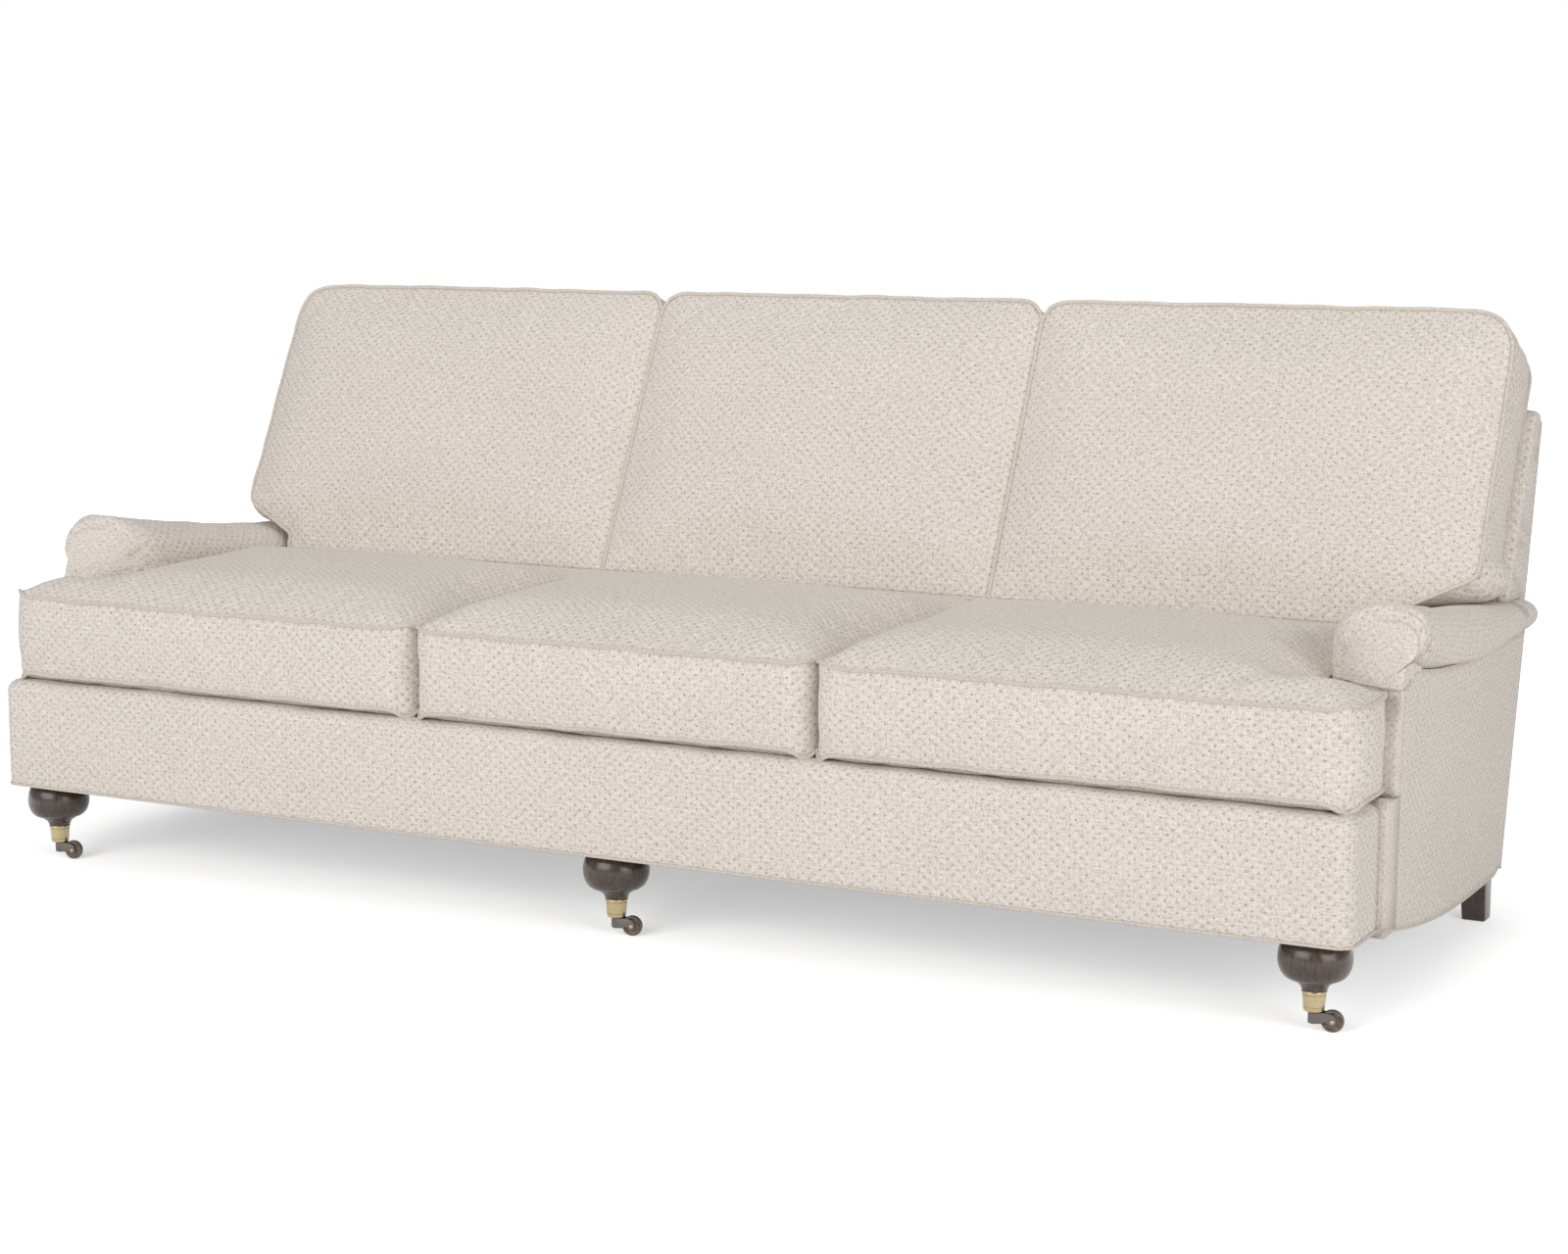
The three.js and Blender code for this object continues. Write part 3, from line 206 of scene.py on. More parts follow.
@dataclass(frozen=True)
class BasketWeave(Finish):
    """Ivory basket weave of slubby yarns: chunky and matt, with small staggered pits between pale floats, whose
    darker colour is painted shade.
    """

    float_width: float = 18.4
    float_height: float = 8.0
    relief: float = 1.2
    pit_depth: float = 0.64
    pale: str = "EFE8E0"
    base: str = "E2DAD2"
    fleck: str = "CABFB4"
    # Colour of the painted shade in the pits
    pit: str = "9C8B7B"

    def draw(self, tree: bpy.types.NodeTree) -> bpy.types.NodeSocket:
        """Adds the weave's nodes and returns the shader socket."""
        spot = add(tree, "ShaderNodeUVMap", uv_map="weave").outputs["UV"]
        scaled = add(tree, "ShaderNodeMapping", {
            "Vector": spot, "Scale": (1000 / self.float_width, 1000 / self.float_height, 1)}).outputs["Vector"]
        drift = add(tree, "ShaderNodeTexNoise", {"Vector": scaled, "Scale": 0.6, "Detail": 2.0}).outputs["Color"]
        yarn = add(tree, "ShaderNodeVectorMath", {0: drift, 1: (0.25, 0.3, 0), 2: scaled},
                   operation="MULTIPLY_ADD").outputs["Vector"]
        parts = add(tree, "ShaderNodeSeparateXYZ", {"Vector": yarn}).outputs
        # The product of the two waves is lowest at the pits, which lie staggered from row to row
        across = add(tree, "ShaderNodeMath", {0: parts["X"], 1: 2 * math.pi}, operation="MULTIPLY").outputs[0]
        upward = add(tree, "ShaderNodeMath", {0: parts["Y"], 1: math.pi}, operation="MULTIPLY").outputs[0]
        crosswise = add(tree, "ShaderNodeMath", {0: across}, operation="COSINE").outputs[0]
        lengthwise = add(tree, "ShaderNodeMath", {0: upward}, operation="SINE").outputs[0]
        basket = add(tree, "ShaderNodeMath", {0: crosswise, 1: lengthwise}, operation="MULTIPLY").outputs[0]
        row = add(tree, "ShaderNodeMath", {0: parts["Y"]}, operation="FLOOR").outputs[0]
        odd = add(tree, "ShaderNodeMath", {0: row, 1: 2.0}, operation="FLOORED_MODULO").outputs[0]
        shifted = add(tree, "ShaderNodeMath", {0: odd, 1: 0.5, 2: parts["X"]}, operation="MULTIPLY_ADD").outputs[0]
        column = add(tree, "ShaderNodeMath", {0: shifted}, operation="FLOOR").outputs[0]
        place = add(tree, "ShaderNodeCombineXYZ", {"X": column, "Y": row, "Z": 3.0}).outputs[0]
        chance = add(tree, "ShaderNodeTexWhiteNoise", {"Vector": place}, noise_dimensions="3D").outputs["Value"]
        hole = add(tree, "ShaderNodeMapRange", {
            "Value": basket, "From Min": -0.98, "From Max": -0.5, "To Min": 1.0, "To Max": 0.0},
                   interpolation_type="SMOOTHSTEP").outputs[0]
        strength = add(tree, "ShaderNodeMapRange", {
            "Value": chance, "To Min": 0.4 * self.pit_depth, "To Max": self.pit_depth}).outputs[0]
        pit = add(tree, "ShaderNodeMath", {0: hole, 1: strength}, operation="MULTIPLY").outputs[0]
        slubs = []
        for stretch in ((1.5, 3.4, 1.0), (8.0, 0.85, 1.0)):
            drawn = add(tree, "ShaderNodeMapping", {"Vector": scaled, "Scale": stretch}).outputs["Vector"]
            slubs.append(add(tree, "ShaderNodeTexNoise", {
                "Vector": drawn, "Scale": 1.0, "Detail": 3.0, "Roughness": 0.6}).outputs["Fac"])
        slub = add(tree, "ShaderNodeMath", {0: slubs[0], 1: slubs[1]}, operation="MULTIPLY").outputs[0]
        tint = add(tree, "ShaderNodeValToRGB", {"Fac": slub})
        tint.color_ramp.elements[0].position, tint.color_ramp.elements[0].color = 0.14, linear(self.fleck)
        tint.color_ramp.elements[1].position, tint.color_ramp.elements[1].color = 0.32, linear(self.pale)
        tint.color_ramp.elements.new(0.24).color = linear(self.base)
        # Painted shade: the pits are darkened toward the pit colour
        depth = add(tree, "ShaderNodeMix", {
            "Factor": pit, "A": tint.outputs["Color"], "B": linear(self.pit)}, data_type="RGBA").outputs[2]
        cloud = add(tree, "ShaderNodeTexNoise", {"Vector": scaled, "Scale": 0.055, "Detail": 2.0}).outputs["Fac"]
        wash = add(tree, "ShaderNodeMapRange", {
            "Value": cloud, "From Min": 0.3, "From Max": 0.7, "To Min": 0.965, "To Max": 1.0}).outputs[0]
        colour = add(tree, "ShaderNodeVectorMath", {0: depth, "Scale": wash}, operation="SCALE").outputs["Vector"]
        weave = add(tree, "ShaderNodeMath", {0: basket, 1: 0.4, 2: slub}, operation="MULTIPLY_ADD").outputs[0]
        height = add(tree, "ShaderNodeMath", {0: pit, 1: -0.5, 2: weave}, operation="MULTIPLY_ADD").outputs[0]
        bump = add(tree, "ShaderNodeBump", {"Strength": 0.75, "Distance": self.relief / 1000, "Height": height})
        return add(tree, "ShaderNodeBsdfPrincipled", {
            "Base Color": colour, "Roughness": 0.92, "Normal": bump.outputs["Normal"], "Sheen Weight": 0.12,
            "Sheen Roughness": 0.5, "Specular IOR Level": 0.25}).outputs["BSDF"]


@dataclass(frozen=True)
class PlanedTimber(Finish):
    """Bare planed hardwood: straw coloured, dull, with fine long grain."""

    dark: str = "A58458"
    light: str = "CBAE80"

    def draw(self, tree: bpy.types.NodeTree) -> bpy.types.NodeSocket:
        """Adds the grain's nodes and returns the shader socket."""
        spot = add(tree, "ShaderNodeTexCoord").outputs["Object"]
        drawn = add(tree, "ShaderNodeMapping", {"Vector": spot, "Scale": (9.0, 60.0, 60.0)}).outputs["Vector"]
        grain = add(tree, "ShaderNodeTexNoise", {
            "Vector": drawn, "Scale": 2.0, "Detail": 6.0, "Roughness": 0.6, "Distortion": 0.6}).outputs["Fac"]
        tint = add(tree, "ShaderNodeValToRGB", {"Fac": grain})
        tint.color_ramp.elements[0].position, tint.color_ramp.elements[0].color = 0.35, linear(self.dark)
        tint.color_ramp.elements[1].position, tint.color_ramp.elements[1].color = 0.65, linear(self.light)
        bump = add(tree, "ShaderNodeBump", {"Strength": 0.2, "Distance": 0.0004, "Height": grain})
        return add(tree, "ShaderNodeBsdfPrincipled", {
            "Base Color": tint.outputs["Color"], "Roughness": 0.62, "Normal": bump.outputs["Normal"]}).outputs["BSDF"]


@dataclass(frozen=True)
class StainedBeech(Finish):
    """Turned beech in espresso stain under satin lacquer: near black brown, faint grain, soft window highlights."""

    dark: str = "33271F"
    light: str = "544238"

    def draw(self, tree: bpy.types.NodeTree) -> bpy.types.NodeSocket:
        """Adds the stain's nodes and returns the shader socket."""
        spot = add(tree, "ShaderNodeTexCoord").outputs["Object"]
        drawn = add(tree, "ShaderNodeMapping", {"Vector": spot, "Scale": (150.0, 150.0, 22.0)}).outputs["Vector"]
        grain = add(tree, "ShaderNodeTexNoise", {
            "Vector": drawn, "Scale": 1.6, "Detail": 5.0, "Roughness": 0.62}).outputs["Fac"]
        tint = add(tree, "ShaderNodeValToRGB", {"Fac": grain})
        tint.color_ramp.elements[0].position, tint.color_ramp.elements[0].color = 0.38, linear(self.dark)
        tint.color_ramp.elements[1].position, tint.color_ramp.elements[1].color = 0.7, linear(self.light)
        rough = add(tree, "ShaderNodeMapRange", {"Value": grain, "To Min": 0.24, "To Max": 0.36}).outputs[0]
        bump = add(tree, "ShaderNodeBump", {"Strength": 0.1, "Distance": 0.0003, "Height": grain})
        return add(tree, "ShaderNodeBsdfPrincipled", {
            "Base Color": tint.outputs["Color"], "Roughness": rough, "Normal": bump.outputs["Normal"],
            "Coat Weight": 0.35, "Coat Roughness": 0.16}).outputs["BSDF"]


@dataclass(frozen=True)
class AgedMetal(Finish):
    """Metal with a rubbed patina: darker and rougher in some patches, brighter and smoother in others, spread by
    noise.
    """

    bright: str = "7A5F35"
    dull: str = "32271A"
    smooth_share: float = 0.28
    rough_share: float = 0.5

    def draw(self, tree: bpy.types.NodeTree) -> bpy.types.NodeSocket:
        """Adds the patina's nodes and returns the shader socket."""
        spot = add(tree, "ShaderNodeTexCoord").outputs["Object"]
        cloud = add(tree, "ShaderNodeTexNoise", {
            "Vector": spot, "Scale": 210.0, "Detail": 5.0, "Roughness": 0.6}).outputs["Fac"]
        tint = add(tree, "ShaderNodeValToRGB", {"Fac": cloud})
        tint.color_ramp.elements[0].position, tint.color_ramp.elements[0].color = 0.36, linear(self.dull)
        tint.color_ramp.elements[1].position, tint.color_ramp.elements[1].color = 0.66, linear(self.bright)
        rough = add(tree, "ShaderNodeMapRange", {
            "Value": cloud, "To Min": self.rough_share, "To Max": self.smooth_share}).outputs[0]
        bump = add(tree, "ShaderNodeBump", {"Strength": 0.08, "Distance": 0.0002, "Height": cloud})
        return add(tree, "ShaderNodeBsdfPrincipled", {
            "Base Color": tint.outputs["Color"], "Metallic": 1.0, "Roughness": rough,
            "Normal": bump.outputs["Normal"]}).outputs["BSDF"]


@dataclass(frozen=True)
class JuteWeb(Finish):
    """Jute webbing straps: coarse tan plain weave, with its pits darkened as painted shade, dull."""

    dark: str = "6F5E42"
    light: str = "B09C79"

    def draw(self, tree: bpy.types.NodeTree) -> bpy.types.NodeSocket:
        """Adds the strap's nodes and returns the shader socket."""
        spot = add(tree, "ShaderNodeTexCoord").outputs["Object"]
        waves = []
        for way in ("X", "Y"):
            waves.append(add(tree, "ShaderNodeTexWave", {
                "Vector": spot, "Scale": 90.0, "Distortion": 0.6, "Detail": 1.0}, bands_direction=way).outputs["Fac"])
        weave = add(tree, "ShaderNodeMath", {0: waves[0], 1: waves[1]}, operation="MULTIPLY").outputs[0]
        # Painted shade: the colour darkens where the weave is low, in its pits
        tint = add(tree, "ShaderNodeValToRGB", {"Fac": weave})
        tint.color_ramp.elements[0].color = linear(self.dark)
        tint.color_ramp.elements[1].position, tint.color_ramp.elements[1].color = 0.6, linear(self.light)
        bump = add(tree, "ShaderNodeBump", {"Strength": 0.5, "Distance": 0.0008, "Height": weave})
        return add(tree, "ShaderNodeBsdfPrincipled", {
            "Base Color": tint.outputs["Color"], "Roughness": 0.93, "Normal": bump.outputs["Normal"]}).outputs["BSDF"]


@dataclass(frozen=True)
class Cambric(Finish):
    """Thin black cambric under the seat: flat, matt, with a fine open weave."""

    dark: str = "161617"
    light: str = "2C2C2E"

    def draw(self, tree: bpy.types.NodeTree) -> bpy.types.NodeSocket:
        """Adds the cambric's nodes and returns the shader socket."""
        spot = add(tree, "ShaderNodeTexCoord").outputs["Object"]
        weave = add(tree, "ShaderNodeTexVoronoi", {"Vector": spot, "Scale": 480.0}).outputs["Distance"]
        tint = add(tree, "ShaderNodeValToRGB", {"Fac": weave})
        tint.color_ramp.elements[0].color = linear(self.dark)
        tint.color_ramp.elements[1].color = linear(self.light)
        bump = add(tree, "ShaderNodeBump", {"Strength": 0.2, "Distance": 0.0003, "Height": weave})
        return add(tree, "ShaderNodeBsdfPrincipled", {
            "Base Color": tint.outputs["Color"], "Roughness": 0.9, "Normal": bump.outputs["Normal"]}).outputs["BSDF"]


@dataclass(frozen=True)
class StudioPaper(Finish):
    """White paper sweep: matt, white where it is seen lit, and it keeps the soft shadow."""

    lift: float = 0.45

    def draw(self, tree: bpy.types.NodeTree) -> bpy.types.NodeSocket:
        """Adds the paper's nodes and returns the shader socket."""
        path = add(tree, "ShaderNodeLightPath").outputs
        seen = add(tree, "ShaderNodeMath", {0: path["Is Camera Ray"], 1: path["Is Glossy Ray"]}, operation="MAXIMUM")
        clear = add(tree, "ShaderNodeMath", {0: seen.outputs[0], 1: path["Is Transmission Ray"]}, operation="MAXIMUM")
        # Away from the sofa the paper fades to plain white, and near it the paper keeps the soft shadow
        place = add(tree, "ShaderNodeTexCoord").outputs["Object"]
        flat = add(tree, "ShaderNodeVectorMath", {0: place, 1: (0.5, 0.72, 0.0)},
                   operation="MULTIPLY").outputs["Vector"]
        away = add(tree, "ShaderNodeVectorMath", {0: flat}, operation="LENGTH").outputs["Value"]
        fade = add(tree, "ShaderNodeMapRange", {
            "Value": away, "From Min": 0.62, "From Max": 1.15, "To Min": self.lift, "To Max": 1.0},
            interpolation_type="SMOOTHSTEP").outputs[0]
        glow = add(tree, "ShaderNodeMath", {0: clear.outputs[0], 1: fade}, operation="MULTIPLY").outputs[0]
        light = add(tree, "ShaderNodeEmission", {"Color": (1, 1, 1, 1), "Strength": glow}).outputs[0]
        paper = add(tree, "ShaderNodeBsdfDiffuse", {"Color": linear("F6F6F7"), "Roughness": 0.5}).outputs[0]
        return add(tree, "ShaderNodeAddShader", {0: paper, 1: light}).outputs[0]


FABRIC = BasketWeave("ivory_basket_weave")
# The same cloth pulled tight on the narrow facings, where its relief is lower
TAUT = BasketWeave("ivory_basket_weave_taut", float_width=13.0, float_height=6.4, relief=0.6, pit_depth=0.4)
# Welts are cut on the bias, so their yarns are smaller than the flat cloth; their colours are set darker than the
# cloth as painted shade, for the shadow line along each seam
PIPING = BasketWeave("ivory_piping_painted_shade", float_width=9.0, float_height=5.0, relief=0.6, pit_depth=0.4, pale="EAE1D8",
                     base="DAD0C6", fleck="C6B9AD")
TIMBER = PlanedTimber("planed_hardwood")
ESPRESSO = StainedBeech("espresso_stained_beech")
BRASS = AgedMetal("antique_brass")
BRONZE = AgedMetal("dark_bronze", bright="4A3B31", dull="241C18", smooth_share=0.25, rough_share=0.42)
RIM = AgedMetal("rubbed_bronze_rim", bright="8E7A62", dull="54453A", smooth_share=0.25, rough_share=0.4)
JUTE = JuteWeb("jute_webbing")
CAMBRIC = Cambric("black_cambric")
PAPER = StudioPaper("white_paper_sweep")
STEEL = AgedMetal("bright_staple_wire", bright="B9B9B6", dull="8A8A88", smooth_share=0.25, rough_share=0.4)


# Meshes


class Skin:
    """Gathers patches into one mesh, each patch with its own flat weave coordinates in millimetres."""

    def __init__(self) -> None:
        """Starts with nothing in it."""
        self.spots: list[Spot] = []
        self.faces: list[list[int]] = []
        self.flats: list[list[Point]] = []

    def patch(self, spots: np.ndarray, flat: np.ndarray, turned: bool = False) -> int:
        """Adds a grid of quads.

        Args:
            spots: Rows by columns of points in maker's millimetres.
            flat: Rows by columns of flat weave coordinates in millimetres.
            turned: Whether the faces look the other way.

        Returns:
            Number of the patch's first point.
        """
        rows, columns = spots.shape[:2]
        start = len(self.spots)
        self.spots.extend(map(tuple, spots.reshape(-1, 3)))
        cells = flat.reshape(-1, 2)
        for row in range(rows - 1):
            for column in range(columns - 1):
                a = row * columns + column
                quad = [a, a + 1, a + columns + 1, a + columns]
                if turned:
                    quad.reverse()
                self.faces.append([start + i for i in quad])
                self.flats.append([tuple(cells[i]) for i in quad])
        return start

    def loft(self, rings: Sequence[np.ndarray], along: Sequence[float] | None = None, capped: bool = True) -> None:
        """Adds a closed tube through rings of equal count, with a cap of triangles at each end.

        Args:
            rings: Rings of points in maker's millimetres.
            along: Weave coordinate of each ring; by default the length along the tube.
            capped: Whether the ends are closed.
        """
        stack = np.array([np.vstack([ring, ring[:1]]) for ring in rings], float)
        round_way = run_along(stack[len(stack) // 2])
        if along is None:
            steps = np.linalg.norm(np.diff(stack.mean(axis=1), axis=0), axis=1)
            along = np.concatenate([[0], np.cumsum(steps)])
        flat = np.stack(np.broadcast_arrays(np.array(along)[:, None], round_way[None, :]), axis=-1)
        self.patch(stack, flat)
        if capped:
            for ring in (stack[0][:-1], stack[-1][:-1]):
                self.cap(ring)

    def cap(self, ring: np.ndarray) -> None:
        """Closes a flat ring of points with triangles."""
        normal = sum(np.cross(ring[i], ring[(i + 1) % len(ring)]) for i in range(len(ring)))
        normal = normal / (np.linalg.norm(normal) or 1)
        lead = np.array([1.0, 0, 0]) if abs(normal[0]) < 0.9 else np.array([0, 1.0, 0])
        wide = np.cross(normal, lead)
        wide /= np.linalg.norm(wide)
        tall = np.cross(normal, wide)
        flat = [(float(p @ wide), float(p @ tall)) for p in ring]
        made = delaunay_2d_cdt([Vector(p) for p in flat], [], [list(range(len(ring)))], 1, 1e-6, True)
        start = len(self.spots)
        self.spots.extend(map(tuple, ring))
        corners = np.array(flat)
        known = [origin[0] if origin else int(np.argmin(np.linalg.norm(corners - np.array(spot), axis=1)))
                 for spot, origin in zip(made[0], made[3])]
        for face in made[2]:
            picked = list(dict.fromkeys(known[i] for i in face))
            if len(picked) < 3:
                continue
            self.faces.append([start + i for i in picked])
            self.flats.append([flat[i] for i in picked])

    def make(self, name: str, finish: Finish, side: Side = Side.RIGHT, join: float = 0.01) -> bpy.types.Object:
        """Makes the mesh object, with its points joined and its faces outwards.

        Args:
            name: Name of the object.
            finish: Finish that it takes.
            side: LEFT makes the mirror image.
            join: Distance in millimetres under which points become one.

        Returns:
            The new object, linked to the scene.
        """
        spots = np.array(self.spots, float)
        spots[:, 0] *= side.value
        mesh = bpy.data.meshes.new(name)
        mesh.from_pydata(to_frame(spots).tolist(), [], self.faces)
        layer = mesh.uv_layers.new(name="weave")
        layer.data.foreach_set("uv", (np.array([f for face in self.flats for f in face]) / 1000).ravel())
        work = bmesh.new()
        work.from_mesh(mesh)
        bmesh.ops.remove_doubles(work, verts=work.verts, dist=join / 1000)
        bmesh.ops.dissolve_degenerate(work, edges=work.edges, dist=1e-6)
        bmesh.ops.recalc_face_normals(work, faces=work.faces)
        work.to_mesh(mesh)
        work.free()
        return dress(mesh, name, finish)


def dress(mesh: bpy.types.Mesh, name: str, finish: Finish, sharp: float | None = None) -> bpy.types.Object:
    """Gives a mesh its finish and smooth shading and links it to the scene.

    Args:
        mesh: Mesh in the shared frame.
        name: Name of the object.
        finish: Finish that it takes.
        sharp: Angle in degrees past which an edge stays crisp.

    Returns:
        The new object.
    """
    mesh.materials.clear()
    mesh.materials.append(finish.material())
    mesh.shade_smooth()
    if sharp is not None:
        mesh.set_sharp_from_angle(angle=math.radians(sharp))
    made = bpy.data.objects.new(name, mesh)
    bpy.context.scene.collection.objects.link(made)
    return made


def refine(piece: bpy.types.Object, levels: int = 1) -> None:
    """Adds a subdivision surface with equal levels for view and render."""
    soft = piece.modifiers.new("smooth", "SUBSURF")
    soft.levels = soft.render_levels = levels


def settle(piece: bpy.types.Object, slot: str, *nodes: str, body: str = "frame") -> bpy.types.Object:
    """Lets a piece ride on its body and stand for its CAD nodes.

    Args:
        piece: Finished piece at the origin.
        slot: Material slot of the record; not used.
        nodes: CAD nodes that it stands for.
        body: Body on which it rides.

    Returns:
        The same piece.
    """
    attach(piece, body)
    if nodes:
        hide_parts(*nodes)
    LOG.info("%s rides on %s for %s", piece.name, body, ", ".join(nodes) or "itself")
    return piece


# Geometry Nodes that follow a line


@dataclass(frozen=True)
class Piping:
    """Welt: a round cord in cloth that follows a seam."""

    radius: float = 3.3
    sides: int = 10
    spacing: float = 6.0

    def tree(self) -> bpy.types.NodeTree:
        """Node tree of the welt, made once.

        Returns:
            A tree with the inputs Radius, Sides, Spacing and Finish.
        """
        found = bpy.data.node_groups.get("welt_along_seam")
        if found:
            return found
        made = bpy.data.node_groups.new("welt_along_seam", "GeometryNodeTree")
        face = made.interface
        face.new_socket("Seam", in_out="INPUT", socket_type="NodeSocketGeometry")
        for label, kind, value in (("Radius", "NodeSocketFloat", 0.003), ("Sides", "NodeSocketInt", 10),
                                   ("Spacing", "NodeSocketFloat", 0.006), ("Finish", "NodeSocketMaterial", None)):
            socket = face.new_socket(label, in_out="INPUT", socket_type=kind)
            if value is not None:
                socket.default_value = value
        face.new_socket("Welt", in_out="OUTPUT", socket_type="NodeSocketGeometry")
        given = add(made, "NodeGroupInput").outputs
        line = add(made, "GeometryNodeMeshToCurve", {"Mesh": given["Seam"]}).outputs[0]
        even = add(made, "GeometryNodeResampleCurve", {"Curve": line, "Length": given["Spacing"]}, mode="LENGTH")
        run = add(made, "GeometryNodeSplineParameter").outputs["Length"]
        kept = add(made, "GeometryNodeStoreNamedAttribute", {
            "Geometry": even.outputs[0], "Name": "run", "Value": run}, data_type="FLOAT", domain="POINT")
        ring = add(made, "GeometryNodeCurvePrimitiveCircle", {
            "Radius": given["Radius"], "Resolution": given["Sides"]}, mode="RADIUS")
        turn = add(made, "GeometryNodeSplineParameter").outputs["Length"]
        ring_kept = add(made, "GeometryNodeStoreNamedAttribute", {
            "Geometry": ring.outputs[0], "Name": "turn", "Value": turn}, data_type="FLOAT", domain="POINT")
        tube = add(made, "GeometryNodeCurveToMesh", {
            "Curve": kept.outputs[0], "Profile Curve": ring_kept.outputs[0], "Fill Caps": True}).outputs[0]
        flat = add(made, "ShaderNodeCombineXYZ", {
            "X": add(made, "GeometryNodeInputNamedAttribute", {"Name": "run"}, data_type="FLOAT").outputs[0],
            "Y": add(made, "GeometryNodeInputNamedAttribute", {"Name": "turn"}, data_type="FLOAT").outputs[0]})
        mapped = add(made, "GeometryNodeStoreNamedAttribute", {
            "Geometry": tube, "Name": "weave", "Value": flat.outputs[0]}, data_type="FLOAT2", domain="CORNER")
        soft = add(made, "GeometryNodeSetShadeSmooth", {"Geometry": mapped.outputs[0]}).outputs[0]
        real = add(made, "GeometryNodeRealizeInstances", {"Geometry": soft}).outputs[0]
        done = add(made, "GeometryNodeSetMaterial", {"Geometry": real, "Material": given["Finish"]}).outputs[0]
        add(made, "NodeGroupOutput", {"Welt": done})
        return made

    def follow(self, name: str, lines: Sequence[tuple[np.ndarray, bool]], finish: Finish) -> bpy.types.Object:
        """Makes a welt along seam lines.

        Args:
            name: Name of the piece.
            lines: Points of each line in metres, and whether it closes on itself.
            finish: Finish of the welt.

        Returns:
            A plain mesh object.
        """
        mesh = bpy.data.meshes.new(name)
        spots: list[list[float]] = []
        edges: list[tuple[int, int]] = []
        for line, closed in lines:
            start = len(spots)
            spots.extend(np.asarray(line, float).tolist())
            edges.extend((start + i, start + i + 1) for i in range(len(line) - 1))
            if closed:
                edges.append((start + len(line) - 1, start))
        mesh.from_pydata(spots, edges, [])
        return grown(mesh, name, self.tree(), {
            "Radius": self.radius / 1000, "Sides": self.sides, "Spacing": self.spacing / 1000}, finish)


def grown(mesh: bpy.types.Mesh, name: str, tree: bpy.types.NodeTree, values: dict[str, object],
          finish: Finish) -> bpy.types.Object:
    """Runs a node tree on a mesh and keeps its result as a plain mesh.

    Args:
        mesh: Mesh that the tree starts from.
        name: Name of the piece.
        tree: Tree that ends in Realize Instances and Set Material.
        values: Input names to values.
        finish: Finish for the tree's material input.

    Returns:
        The new object, with no modifier on it.
    """
    holder = bpy.data.objects.new(f"{name}_lines", mesh)
    bpy.context.scene.collection.objects.link(holder)
    run = holder.modifiers.new("grow", "NODES")
    run.node_group = tree
    keys = {item.name: item.identifier for item in tree.interface.items_tree if item.in_out == "INPUT"}
    for label, value in values.items():
        run[keys[label]] = value
    run[keys["Finish"]] = finish.material()
    seen = holder.evaluated_get(bpy.context.evaluated_depsgraph_get())
    result = bpy.data.meshes.new_from_object(seen, preserve_all_data_layers=True,
                                             depsgraph=bpy.context.evaluated_depsgraph_get())
    bpy.data.objects.remove(holder)
    bpy.data.meshes.remove(mesh)
    result.name = name
    made = bpy.data.objects.new(name, result)
    bpy.context.scene.collection.objects.link(made)
    return made


WELT = Piping()
EDGE_WELT = Piping(radius=2.4, sides=8, spacing=6.0)
FINE_WELT = Piping(radius=1.5, sides=8, spacing=4.0)


# Levels and places that several pieces share, in maker's millimetres


@dataclass(frozen=True)
class Plan:
    """Main sizes of the sofa that its pieces share."""

    border_half: float = 1218.0
    border_foot: float = 138.0
    border_top: float = 324.0
    deck_foot: float = 303.6
    inside_arm: float = 1092.0
    arm_outside: float = 1228.0
    seat_joint: float = 365.0
    back_joint: float = 380.0
    ear_rear: float = 168.0
    facing_front: float = 170.5
    border_return: float = 126.0
    panel_front: float = 188.0
    arm_front: float = 168.6
    arm_rear: float = 903.0
    pad_front: float = 252.9
    cap_foot: float = 478.0
    face_foot: float = 763.0
    face_level: float = 427.0
    face_lean: float = math.radians(26)
    rear_foot: float = 794.0
    rear_lean: float = math.radians(14.5)
    back_top: float = 818.0
    hem_rear: float = 84.0
    hem_run: float = 574.0

    def face_at(self, z: float) -> float:
        """Y of the fixed back's face at a level."""
        return self.face_foot + (z - self.face_level) * math.tan(self.face_lean)

    def rear_at(self, z: float) -> float:
        """Y of the sofa's rear at a level."""
        return self.rear_foot + z * math.tan(self.rear_lean)

    def hem_at(self, y: float) -> float:
        """Level of the outside arm's lower edge."""
        left = 1 - clamp((y - self.border_return) / self.hem_run)
        return self.hem_rear + (self.border_foot - self.hem_rear) * left ** 2.2

    def roll_at(self, y: float) -> "Roll":
        """Section of the roll arm at a place along its run."""
        run = clamp((y - self.arm_front) / (self.arm_rear - self.arm_front))
        return Roll(mix(518, 606, (1 - run) ** 1.6), mix(466, 519, (1 - run) ** 4), mix(1255, 1250, run * run),
                    mix(54, 32, run))


@dataclass(frozen=True)
class Roll:
    """Section of the roll arm: its top, underside, outermost point and how far it reaches from its axis."""

    top: float
    under: float
    outer: float
    reach: float

    @property
    def centre(self) -> float:
        """Level of the roll's axis."""
        return (self.top + self.under) / 2

    @property
    def half(self) -> float:
        """Half the roll's height."""
        return (self.top - self.under) / 2

    @property
    def axis(self) -> float:
        """Place of the roll's axis across the sofa."""
        return self.outer - self.reach


PLAN = Plan()


